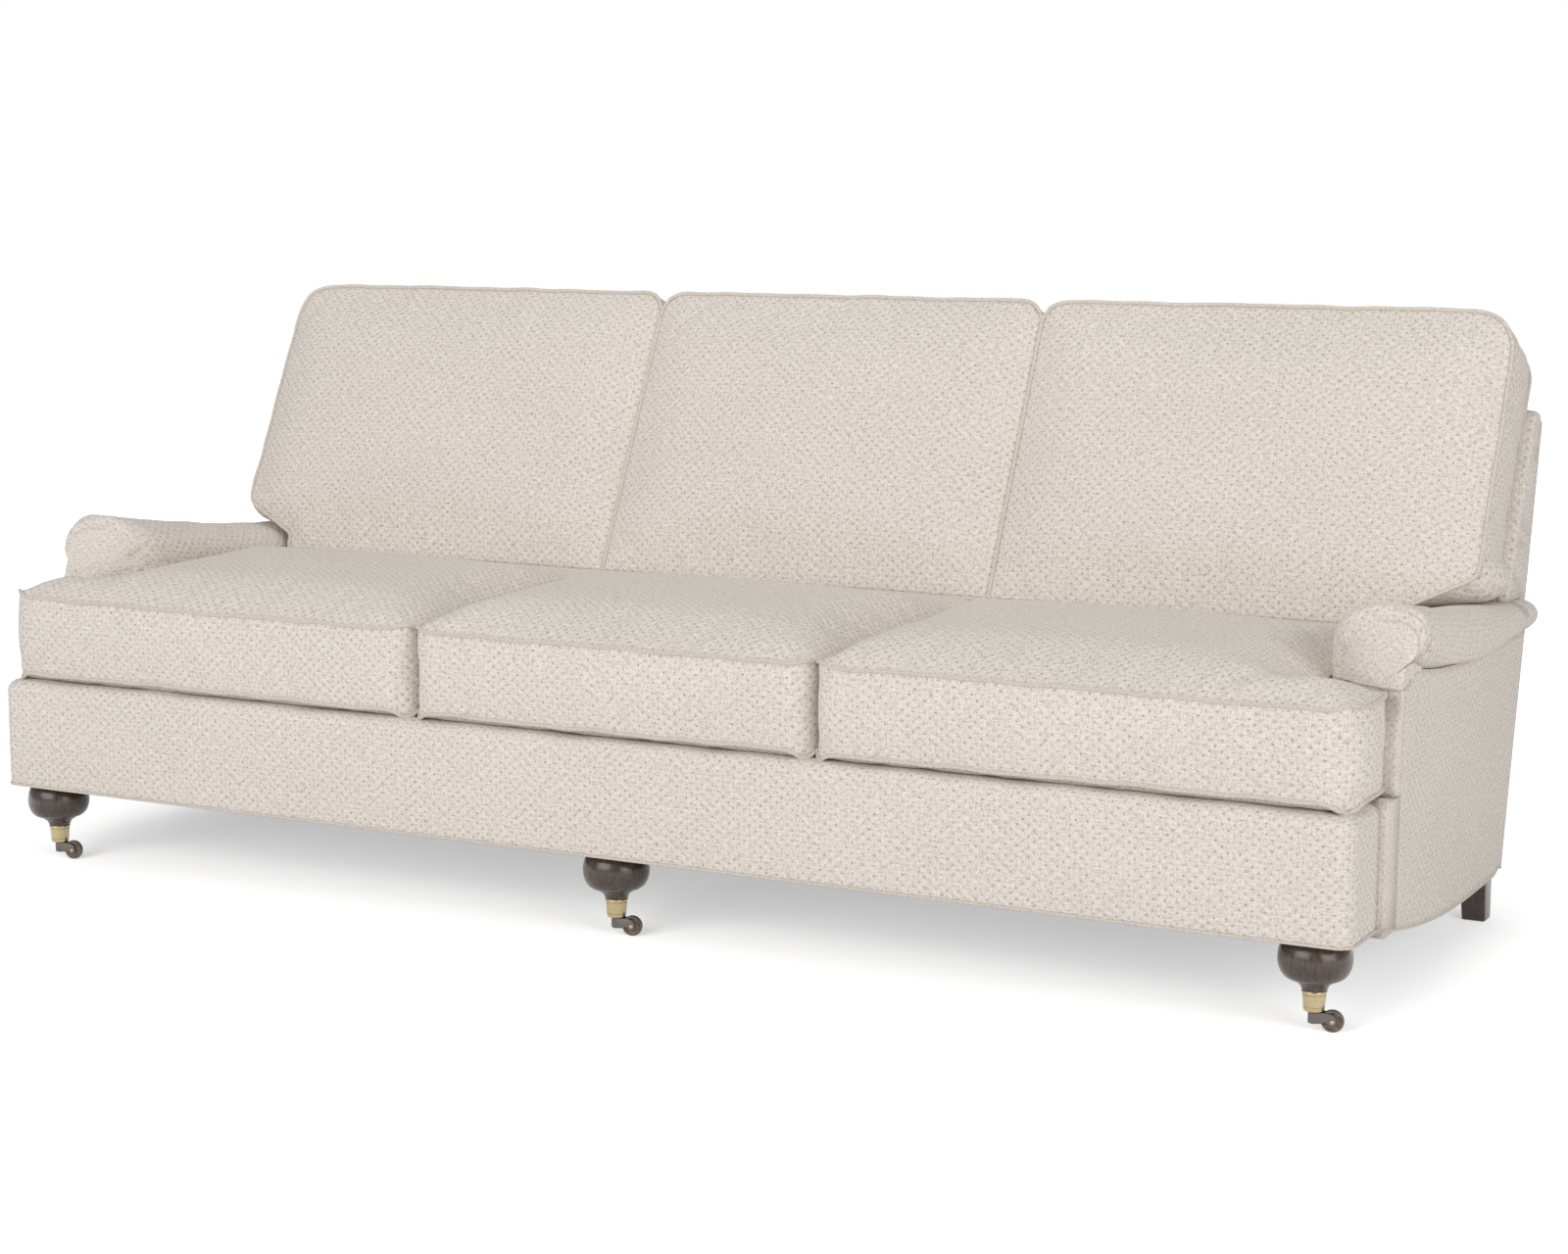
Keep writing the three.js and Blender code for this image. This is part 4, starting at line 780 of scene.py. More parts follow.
def outline(corners: Sequence[Spot], pitch: float,
            counts: Sequence[int] | None = None) -> tuple[np.ndarray, list[int]]:
    """Closed outline with rounded corners.

    Args:
        corners: Corner points in order, each with its radius.
        pitch: Wanted distance between points.
        counts: Steps of each arc and straight, to match another outline.

    Returns:
        The points, and the steps of each arc and straight.
    """
    spots = np.array([c[:2] for c in corners], float)
    radii = [c[2] for c in corners]
    arcs = []
    for i, radius in enumerate(radii):
        before = spots[i] - spots[i - 1]
        after = spots[(i + 1) % len(spots)] - spots[i]
        before, after = before / np.linalg.norm(before), after / np.linalg.norm(after)
        turn = math.atan2(before[0] * after[1] - before[1] * after[0], float(before @ after))
        reach = radius * math.tan(abs(turn) / 2)
        start = spots[i] - before * reach
        inward = np.array([-before[1], before[0]]) * math.copysign(radius, turn)
        arcs.append((start, spots[i] + after * reach, start + inward, inward, turn, abs(turn) * radius))
    made: list[np.ndarray] = []
    used: list[int] = []
    for i, (start, end, centre, inward, turn, length) in enumerate(arcs):
        bends = counts[2 * i] if counts else max(3, round(length / pitch))
        for k in range(bends + 1):
            a = turn * k / bends
            spoke = -inward
            made.append(centre + np.array([spoke[0] * math.cos(a) - spoke[1] * math.sin(a),
                                           spoke[0] * math.sin(a) + spoke[1] * math.cos(a)]))
        target = arcs[(i + 1) % len(arcs)][0]
        steps = counts[2 * i + 1] if counts else max(1, round(float(np.linalg.norm(target - end)) / pitch))
        made.extend(end + (target - end) * k / steps for k in range(1, steps))
        used += [bends, steps]
    return np.array(made), used


def within(spots: np.ndarray, loop: np.ndarray) -> np.ndarray:
    """Which points lie inside a closed outline.

    Args:
        spots: Flat points.
        loop: Points of the outline.

    Returns:
        True for each point inside.
    """
    inside = np.zeros(len(spots), bool)
    for (ax, ay), (bx, by) in zip(loop, np.roll(loop, -1, axis=0)):
        crosses = (ay > spots[:, 1]) != (by > spots[:, 1])
        inside ^= crosses & (spots[:, 0] < ax + (spots[:, 1] - ay) * (bx - ax) / ((by - ay) or 1e-12))
    return inside


def filling(loop: np.ndarray, pitch: float) -> tuple[np.ndarray, list[list[int]], np.ndarray, np.ndarray]:
    """Points and faces that fill a flat outline, mostly with squares.

    Args:
        loop: Points of the outline, anticlockwise.
        pitch: Distance between the inner points.

    Returns:
        The inner points; faces that number the loop first and then the inner points; each inner point's
        distance to the outline; and the number of its nearest outline point.
    """
    low, high = loop.min(0), loop.max(0)
    steps = np.ceil((high - low) / pitch).astype(int)
    grid_x, grid_y = np.meshgrid(np.linspace(low[0], high[0], steps[0] + 1),
                                 np.linspace(low[1], high[1], steps[1] + 1))
    spots = np.stack([grid_x.ravel(), grid_y.ravel()], 1)
    spots = spots[within(spots, loop)]
    gaps = np.linalg.norm(spots[:, None] - loop[None], axis=2)
    kept = gaps.min(1) > 0.62 * pitch
    spots, gaps = spots[kept], gaps[kept]
    points = np.vstack([loop, spots])
    made = delaunay_2d_cdt([Vector(p) for p in points], [], [list(range(len(loop)))], 1, 1e-5, True)
    names = [ids[0] for ids in made[3]]
    triangles = [[names[i] for i in face] for face in made[2]]
    work = bmesh.new()
    corners = [work.verts.new((*point, 0)) for point in points]
    # The notch beside an ear is left open
    for triangle, kept_in in zip(triangles, within(points[triangles].mean(1), loop)):
        if kept_in:
            work.faces.new([corners[i] for i in triangle])
    work.verts.index_update()
    bmesh.ops.join_triangles(work, faces=work.faces[:], angle_face_threshold=3.1, angle_shape_threshold=0.9)
    bmesh.ops.recalc_face_normals(work, faces=work.faces[:])
    faces = [[v.index for v in face.verts] for face in work.faces]
    if sum(face.normal.z for face in work.faces) < 0:
        faces = [face[::-1] for face in faces]
    work.free()
    return spots, faces, gaps.min(1), gaps.argmin(1)


@dataclass
class Cushion:
    """Boxed loose cushion: two panels joined by a boxing band, with a welt round each seam."""

    name: str
    body: str
    seed: float
    pitch: float = 12.5
    rows: int = 10
    waver: float = 1.3
    pucker: float = 1.1
    swell: float = 9.0
    band_swell: float = 4.0
    fill: float = 0.75
    proud: float = 1.0
    seams: list[np.ndarray] = field(default_factory=list)
    piece: bpy.types.Object | None = None
    start: np.ndarray | None = None
    caps: np.ndarray | None = None

    def corners(self, under: bool) -> list[Spot]:
        """Corners of a panel in its own plane, each with its radius."""
        raise NotImplementedError

    def panel(self, a: float, b: float, under: bool) -> Spot:
        """Point of a panel from its place in the panel's own plane."""
        raise NotImplementedError

    def bulge(self, a: float, b: float) -> float:
        """How far the boxing stands out at a point of the outline."""
        raise NotImplementedError

    def held(self, spot: np.ndarray) -> bool:
        """Whether the cloth is pressed by a neighbour at a point and so keeps its place."""
        raise NotImplementedError

    def limit(self, spots: np.ndarray) -> np.ndarray:
        """Keeps the filled cushion clear of its neighbours."""
        raise NotImplementedError

    def build(self) -> None:
        """Cuts the panels and boxing and sews them into one mesh."""
        top, counts = outline(self.corners(False), self.pitch)
        low, _ = outline(self.corners(True), self.pitch, counts)
        count = len(top)
        shares = np.arange(count) / count
        loops = []
        for under, loop in ((False, top), (True, low)):
            loops.append(np.array([self.panel(a, b, under) for a, b in loop], float))
        tangent = np.roll(loops[0], -1, axis=0) - np.roll(loops[0], 1, axis=0)
        axis = loops[0] - loops[1]
        axis /= np.linalg.norm(axis, axis=1)[:, None]
        out = np.cross(tangent, axis)
        out /= np.linalg.norm(out, axis=1)[:, None]
        free = np.array([self.bulge(a, b) for a, b in top])
        for k, loop in enumerate(loops):
            ease = (0.25 + 0.75 * np.clip(free / 4, 0, 1))[:, None]
            sway = np.array([ripple(s, self.seed + k, (5, 9, 16, 27)) for s in shares])[:, None]
            lift = np.array([ripple(s, self.seed + 2 + k, (4, 11, 21, 33)) for s in shares])[:, None]
            loop += ease * self.waver * (0.6 * out * sway + axis * lift)
        spots: list[np.ndarray] = []
        faces: list[list[int]] = []
        flats: list[list[Point]] = []
        caps: list[float] = []
        firsts = []
        for under, loop2, loop3 in ((False, top, loops[0]), (True, low, loops[1])):
            inner, panel_faces, gaps, nearest = filling(loop2, self.pitch)
            first = len(spots)
            firsts.append(first)
            spots.extend(loop3)
            caps.extend([0.0] * count)
            flat = np.vstack([loop2, inner])
            for (a, b), gap, near in zip(inner, gaps, nearest):
                spot = np.array(self.panel(a, b, under), float)
                near_seam = math.exp(-gap / 24)
                sewn = self.waver * (0.25 + 0.75 * clamp(free[near] / 4)) * ripple(
                    near / count, self.seed + 2 + int(under), (4, 11, 21, 33))
                tuck = self.pucker * ripple(near / count, self.seed + 6, (37, 53, 71))
                shift = sewn * near_seam + tuck * near_seam * (1 - math.exp(-gap / 7)) * clamp(free[near] / 4, 0.2)
                spots.append(spot + axis[near] * shift * (-1 if under else 1))
                caps.append(self.swell if not under else self.band_swell)
            for face in panel_faces:
                ordered = face[::-1] if under else face
                faces.append([first + i for i in ordered])
                flats.append([tuple(flat[i]) for i in ordered])
        grid = [list(range(firsts[0], firsts[0] + count))]
        for row in range(1, self.rows):
            share = row / self.rows
            line = []
            for i in range(count):
                crease = (ripple(shares[i], self.seed + 8, (23, 41, 59))
                          * self.pucker * (1 - math.sin(math.pi * share)))
                away = free[i] * math.sin(math.pi * share) ** 0.8 + crease * clamp(free[i] / 4)
                line.append(len(spots))
                spots.append(loops[0][i] * (1 - share) + loops[1][i] * share + out[i] * away)
                caps.append(self.band_swell if free[i] > 1 else 0.0)
            grid.append(line)
        grid.append(list(range(firsts[1], firsts[1] + count)))
        run = run_along(np.vstack([top, top[:1]]))
        height = float(np.linalg.norm(loops[0] - loops[1], axis=1).mean())
        for row in range(self.rows):
            for i in range(count):
                j = (i + 1) % count
                faces.append([grid[row][i], grid[row + 1][i], grid[row + 1][j], grid[row][j]])
                high, deep = -height * row / self.rows, -height * (row + 1) / self.rows
                flats.append([(run[i], high), (run[i], deep), (run[i + 1], deep), (run[i + 1], high)])
        self.start = np.array(spots)
        self.caps = np.array([0.0 if self.held(s) else c for s, c in zip(spots, caps)])
        mesh = bpy.data.meshes.new(self.name)
        mesh.from_pydata(to_frame(self.start).tolist(), [], faces)
        layer = mesh.uv_layers.new(name="weave")
        layer.data.foreach_set("uv", (np.array([f for face in flats for f in face]) / 1000).ravel())
        self.piece = dress(mesh, self.name, FABRIC)
        crease = mesh.attributes.new("crease_edge", "FLOAT", "EDGE")
        sewn_edges = set()
        for first in firsts:
            sewn_edges |= {frozenset((first + i, first + (i + 1) % count)) for i in range(count)}
        crease.data.foreach_set("value", [0.75 if frozenset(e.vertices) in sewn_edges else 0.0 for e in mesh.edges])
        self.seams = [loops[0] + out * self.proud + axis * self.proud,
                      loops[1] + out * self.proud - axis * self.proud]

    def load_cloth(self) -> None:
        """Adds the cloth with the filling's pressure; the seams are pinned."""
        group = self.piece.vertex_groups.new(name="sewn")
        for i, cap in enumerate(self.caps):
            if cap == 0:
                group.add([i], 1.0, "REPLACE")
        cloth = self.piece.modifiers.new("filling", "CLOTH")
        setting = cloth.settings
        setting.quality = 4
        setting.mass = 0.35
        setting.tension_stiffness = setting.compression_stiffness = 18
        setting.shear_stiffness = 6
        setting.bending_stiffness = 1.2
        setting.use_pressure = True
        setting.uniform_pressure_force = 4
        setting.shrink_min = -0.012
        setting.vertex_group_mass = "sewn"
        setting.effector_weights.gravity = 0
        cloth.collision_settings.use_collision = False
        cloth.point_cache.frame_start, cloth.point_cache.frame_end = 1, 20

    def keep_cloth(self) -> None:
        """Reads the filled shape, caps how far it moved and takes the cloth off."""
        seen = self.piece.evaluated_get(bpy.context.evaluated_depsgraph_get())
        moved = np.empty(len(self.start) * 3)
        seen.data.vertices.foreach_get("co", moved)
        moved = moved.reshape(-1, 3)
        moved[:, 1] -= DATUM
        shift = moved * 1000 - self.start
        size = np.maximum(np.linalg.norm(shift, axis=1), 1e-9)
        cap = np.maximum(self.caps, 1e-9)
        shift *= (cap * np.tanh(size / cap) / size)[:, None]
        self.piece.modifiers.clear()
        self.piece.vertex_groups.clear()
        filled = self.limit(self.start + shift)
        self.piece.data.vertices.foreach_set("co", to_frame(filled).ravel())
        self.piece.data.update()

    def finish(self, node: str) -> None:
        """Smooths the cushion, sews its welts on and lets both ride on their body."""
        refine(self.piece)
        settle(self.piece, "woven_fabric", node, body=self.body)
        welt = WELT.follow(f"{self.name}_welts", [(to_frame(seam), True) for seam in self.seams], PIPING)
        settle(welt, "woven_fabric", body=self.body)


@dataclass
class SeatCushion(Cushion):
    """Loose seat cushion; the outer ones have an ear in front of the arm."""

    side: int = 0
    front: float = -20.0
    rear: float = 708.5
    seam_front: float = 470.0
    seam_rear: float = 476.0
    boxing: float = 132.0
    gap: float = 1.2
    edge_rise: float = 22.0
    edge_reach: float = 140.0
    plump_rise: float = 40.0
    plump_reach: float = 125.0
    dome: float = 12.0
    peak: float = 0.36
    sag: float = 31.0
    sag_reach: float = 40.0
    back_foot: float = 648.4
    ear_half: float = 1212.0
    fullness: float = 0.95

    @property
    def limits(self) -> tuple[float, float]:
        """Sides of the cushion behind its ear."""
        if self.side == 0:
            return -PLAN.seat_joint + self.gap / 2, PLAN.seat_joint - self.gap / 2
        return PLAN.seat_joint + self.gap / 2, PLAN.inside_arm - self.gap

    def corners(self, under: bool) -> list[Spot]:
        """Corners of the plan; the left cushion is the right one's mirror image."""
        low, high = self.limits
        if self.side == 0:
            return [(low, -self.front, 40), (high, -self.front, 40), (high, self.rear, 10), (low, self.rear, 10)]
        right = [(low, -self.front, 40), (self.ear_half, -self.front, 50), (self.ear_half, PLAN.ear_rear, 16),
                 (high, PLAN.ear_rear, 8), (high, self.rear, 10), (low, self.rear, 10)]
        return right if self.side > 0 else [(-x, y, r) for x, y, r in reversed(right)]

    def edge(self, x: float, y: float) -> float:
        """Distance to the nearest free edge, longer towards the back cushions that press on the seat."""
        low, high = self.limits
        pressed = mix(1, 0.3, clamp(y / self.back_foot) ** 2)
        if self.side and y < PLAN.ear_rear:
            high = self.ear_half
        gaps = [(x - low) / pressed, (high - x) / pressed, y + self.front, self.rear - y]
        if self.side and y < PLAN.ear_rear:
            gaps.append(math.hypot(PLAN.ear_rear - y, max(PLAN.inside_arm - x, 0)))
        return max(min(gaps), 0)

    def top(self, x: float, y: float, fullness: float = 1.0) -> float:
        """Level of the crowned top."""
        run = (y + self.front) / (self.rear + self.front)
        rest = (self.back_foot + self.front) / (self.rear + self.front)
        low, high = self.limits
        across = clamp(abs(x - (low + high) / 2) / ((high - low) / 2))
        slope = self.peak if run < self.peak else rest - self.peak
        along = clamp((run - self.peak) / slope, -1, 1)
        full = mix(fullness, 1, smooth((y - 480) / 120))
        rear = smooth((y - 440) / 160)
        crown = (mix(self.plump_rise, self.edge_rise, rear)
                 * edge_ease(self.edge(x, y), mix(self.plump_reach, self.edge_reach, rear)))
        return mix(self.seam_front, self.seam_rear, run) + full * (
            crown + self.dome * (1 - across * across) * (1 - along * along))

    def panel(self, a: float, b: float, under: bool) -> Spot:
        """Point of the top or of the underside."""
        x = abs(a) if self.side else a
        if not under:
            return (a, b, self.top(x, b, self.fullness))
        seam = mix(self.seam_front, self.seam_rear, (b + self.front) / (self.rear + self.front)) - self.boxing
        return (a, b, max(seam - self.sag * edge_ease(self.edge(x, b), self.sag_reach), PLAN.border_top + 1))

    def bulge(self, a: float, b: float) -> float:
        """Full in front and round the ear, flat where it meets its neighbours."""
        outer = self.side and abs(a) > PLAN.inside_arm + 30 and b < PLAN.ear_rear - 20
        if b < -self.front + 30:
            low, high = self.limits
            x = abs(a) if self.side else a
            near = min(x - low, (1e9 if self.side else high - x))
            return 7.0 * smooth(near / 30)
        return 5.0 if outer else 0.4

    def held(self, spot: np.ndarray) -> bool:
        """Pressed under the back cushions and on the deck."""
        return bool(spot[1] > 600 or (spot[2] < PLAN.border_top + 12 and spot[1] > 60))

    def limit(self, spots: np.ndarray) -> np.ndarray:
        """Keeps it on the deck, under the back cushions and beside its neighbours."""
        low, high = self.limits
        kept = spots.copy()
        sign = self.side or 1
        x = kept[:, 0] * sign
        if self.side:
            # A point that swells into the arm's corner goes back to the nearer wall
            beyond, behind = x - high - 0.3, kept[:, 1] - PLAN.ear_rear - 1.2
            corner = (beyond > 0) & (behind > 0)
            x = np.where(corner & (beyond <= behind), high + 0.3, x)
            kept[:, 1] = np.where(corner & (beyond > behind), PLAN.ear_rear + 1.2, kept[:, 1])
        else:
            x = np.minimum(x, high + 0.3)
        x = np.maximum(x, low - 0.3)
        kept[:, 0] = x * sign
        kept[:, 2] = np.maximum(kept[:, 2], PLAN.border_top + 0.8)
        for i in np.nonzero(kept[:, 2] > 450)[0]:
            spot = kept[i]
            room = 6 * (1 - smooth((spot[1] - 420) / 160))
            spot[2] = min(spot[2], self.top(spot[0] * sign, spot[1]) + room)
        return kept


@dataclass
class BackCushion(Cushion):
    """Loose back cushion that leans on the fixed back; the outer ones reach over the arm."""

    side: int = 0
    depth: float = 648.4
    level: float = 483.0
    boxing: float = 127.0
    gap: float = 1.2
    seam_top: float = 982.0
    foot_front: float = 491.2
    foot_rear: float = 507.0
    edge_rise: float = 20.0
    edge_reach: float = 120.0
    dome: float = 24.0
    peak: float = 0.45
    outer: float = 1200.0
    inside: float = 1083.0
    ear_low: float = 513.0
    ear_high: float = 569.0
    ear_drop: float = 36.0
    fullness: float = 0.9

    @property
    def length(self) -> float:
        """Length of the front panel up the lean."""
        return (self.seam_top - self.level) / math.cos(PLAN.face_lean)

    def up_to(self, z: float, through: float) -> float:
        """Distance up the lean of a level, on the front or the rear panel."""
        return (z - self.level + through * math.sin(PLAN.face_lean)) / math.cos(PLAN.face_lean)

    def leaning(self, x: float, up: float, through: float) -> Spot:
        """Point from its place across, up the lean and through the thickness."""
        sine, cosine = math.sin(PLAN.face_lean), math.cos(PLAN.face_lean)
        return (x, self.depth + up * sine + through * cosine, self.level + up * cosine - through * sine)

    def corners(self, under: bool) -> list[Spot]:
        """Corners of the front or rear panel up the lean."""
        through = self.boxing if under else 0.0
        foot = self.up_to(self.foot_rear if under else self.foot_front, through)
        inner = PLAN.back_joint - self.gap / 2
        if self.side == 0:
            return [(-inner, foot, 10), (inner, foot, 10), (inner, self.length, 45), (-inner, self.length, 45)]
        inner = PLAN.back_joint + self.gap / 2
        low = max(self.up_to(self.ear_low, through), foot + 30)
        high = self.ear_high - (self.ear_drop if under else 0)
        right = [(inner, foot, 10), (self.inside, foot, 12), (self.inside, low, 14),
                 (self.outer, low + self.up_to(high, through) - self.up_to(self.ear_low, through), 24),
                 (self.outer, self.length, 72), (inner, self.length, 45)]
        return right if self.side > 0 else [(-x, up, r) for x, up, r in reversed(right)]

    def crown(self, x: float, up: float) -> float:
        """How far the front panel stands forward."""
        foot = self.up_to(self.foot_front, 0)
        inner = PLAN.back_joint
        z = self.level + up * math.cos(PLAN.face_lean)
        if self.side == 0:
            middle, half, outer = 0.0, inner, inner
            gaps = [inner - abs(x)]
        else:
            middle, half = (inner + self.outer) / 2, (self.outer - inner) / 2
            outer = mix(self.inside, self.outer, clamp((z - self.ear_low) / (self.ear_high - self.ear_low)))
            gaps = [x - inner, outer - x]
        gaps += [self.length - up, (up - foot) * 1.3]
        across = clamp(abs(x - middle) / half)
        share = (up - foot) / (self.length - foot)
        low = smooth((up - foot) / 90)
        full = self.dome * (1 - across * across) * (1 - ((share - self.peak) / (1 - self.peak)) ** 2) * low
        return self.edge_rise * edge_ease(max(min(gaps), 0), self.edge_reach) + full

    def panel(self, a: float, b: float, under: bool) -> Spot:
        """Point of the front panel or of the rear one, which lies flat on the fixed back."""
        if under:
            return self.leaning(a, b, self.boxing)
        return self.leaning(a, b, -self.fullness * self.crown(abs(a) if self.side else a, b))

    def bulge(self, a: float, b: float) -> float:
        """Full along the top and the outer side, flat against the neighbours and at the foot."""
        top = 8.0 * smooth((b - self.length + 60) / 60)
        inner = abs(abs(a) - PLAN.back_joint)
        top *= smooth(inner / 40) if inner < 60 else 1.0
        if self.side and abs(a) > self.inside - 2 and b > self.up_to(self.foot_front + 4, 0):
            reach = clamp((abs(a) - self.inside) / (self.outer - self.inside))
            hang = (13.0 + 24.0 * reach) * smooth((b - self.up_to(self.foot_front + 4, 0)) / 24)
            hang *= 1 - smooth((b - self.up_to(self.ear_high, 0)) / 60)
            return max(top, hang, 6.0 * smooth((abs(a) - self.inside - 12) / 60))
        return max(top, 0.4)

    def held(self, spot: np.ndarray) -> bool:
        """Pressed against the seat at its foot and against the fixed back."""
        sine, cosine = math.sin(PLAN.face_lean), math.cos(PLAN.face_lean)
        through = (spot[1] - self.depth) * cosine - (spot[2] - self.level) * sine
        return bool(through > self.boxing - 2 or spot[2] < self.foot_front + 6)

    def limit(self, spots: np.ndarray) -> np.ndarray:
        """Keeps it off the seat, in front of the fixed back and beside its neighbours."""
        sine, cosine = math.sin(PLAN.face_lean), math.cos(PLAN.face_lean)
        kept = spots.copy()
        through = (kept[:, 1] - self.depth) * cosine - (kept[:, 2] - self.level) * sine
        over = np.maximum(through - self.boxing - 0.2, 0)
        kept[:, 1] -= over * cosine
        kept[:, 2] += over * sine
        sign = self.side or 1
        x = kept[:, 0] * sign
        if self.side:
            x = np.maximum(x, PLAN.back_joint + 0.3)
        else:
            x = np.clip(x, -PLAN.back_joint + 0.3, PLAN.back_joint - 0.3)
        kept[:, 0] = x * sign
        kept[:, 2] = np.maximum(kept[:, 2], self.foot_front)
        return kept


def fill_cushions(cushions: Sequence[Cushion]) -> None:
    """Fills all the cushions in one run of the cloth simulation.

    Args:
        cushions: Cushions that are sewn and not yet filled.
    """
    scene = bpy.context.scene
    for cushion in cushions:
        cushion.load_cloth()
    for number in range(1, 21):
        scene.frame_set(number)
    for cushion in cushions:
        cushion.keep_cloth()
    scene.frame_set(1)


def mapped(section: np.ndarray, steps: int) -> np.ndarray:
    """Evenly spaced points along a line of points.

    Args:
        section: Points of the line.
        steps: Number of steps wanted.

    Returns:
        One more point than steps.
    """
    run = run_along(section)
    places = np.linspace(0, run[-1], steps + 1)
    return np.stack([np.interp(places, run, section[:, i]) for i in range(section.shape[1])], axis=1)


@dataclass
class FrontBorder:
    """Padded band across the front that turns both corners, with a rolled top edge and a welted hem."""

    padding: float = 21.7
    roll: float = 20.0
    lap: float = 60.0
    corner: float = 26.0
    belly: float = 3.5
    turn_steps: int = 12

    def line(self, inset: float) -> np.ndarray:
        """Plan line of the band, set in from its outer face."""
        soft = max(self.corner * (1 - inset / self.padding), 0.5)
        half = PLAN.border_half - inset
        turns = [k / self.turn_steps * math.pi / 2 for k in range(self.turn_steps + 1)]
        right = [(half - soft + soft * math.sin(t), inset + soft - soft * math.cos(t)) for t in turns]
        rises = [mix(right[-1][1], PLAN.border_return, k / 6) for k in range(1, 7)]
        side = [(half, y) for y in rises]
        flat = [(mix(-right[0][0], right[0][0], k / 150), inset) for k in range(1, 150)]
        left = [(-x, y) for x, y in right + side][::-1]
        return np.array(left + flat + right + side)

    def build(self) -> None:
        """Makes the band and the welt along its hem."""
        front: list[Point] = [(self.padding, PLAN.border_foot + 1), (5, PLAN.border_foot + 1),
                              (1.5, PLAN.border_foot + 2.5), (0.6, PLAN.border_foot + 6)]
        roll_foot = PLAN.border_top - self.roll
        for k in range(1, 12):
            share = k / 12
            z = mix(PLAN.border_foot + 6, roll_foot, share)
            front.append((-self.belly * math.sin(math.pi * share) ** 0.8 * 0.35, z))
        for k in range(11):
            t = k / 10 * math.pi / 2
            front.append((self.roll * (1 - math.cos(t)), roll_foot + self.roll * math.sin(t)))
        front += [(self.lap * share, PLAN.border_top) for share in (0.5, 0.75, 1.0)]
        front += [(self.lap, PLAN.deck_foot), (self.padding, PLAN.deck_foot), (self.padding, PLAN.border_foot + 1)]
        stations = []
        rows = len(front)
        for inset, z in front:
            line = self.line(max(inset, 0))
            stations.append(np.column_stack([line, np.full(len(line), z)]))
            stations[-1][:, 1] += min(inset, 0)
        grid = np.array(stations)
        count = grid.shape[1]
        for row in range(2, rows - 4):
            z = front[row][1]
            for i in range(count):
                share = i / count
                slack = 0.9 * ripple(share, 1.3, (4, 9, 15)) * math.sin(math.pi * clamp((z - 140) / 184))
                near = clamp((z - 290) / 34)
                grid[row, i, 1] -= slack
                grid[row, i, 2] += 1.1 * near * ripple(share, 2.1, (5, 12, 23))
        skin = Skin()
        run = run_along(grid[8])
        rise = run_along(np.array(front))
        flat = np.stack(np.meshgrid(run, rise), axis=-1)
        skin.patch(grid, flat)
        for end in (0, -1):
            skin.cap(grid[:-1, end])
        settle(skin.make("front_border_cover", FABRIC), "woven_fabric", "front_border")
        hem = self.line(0.0)
        hem3 = np.column_stack([hem, np.full(len(hem), PLAN.border_foot + 1.6)])
        settle(EDGE_WELT.follow("front_border_hem", [(to_frame(hem3), False)], PIPING), "woven_fabric")


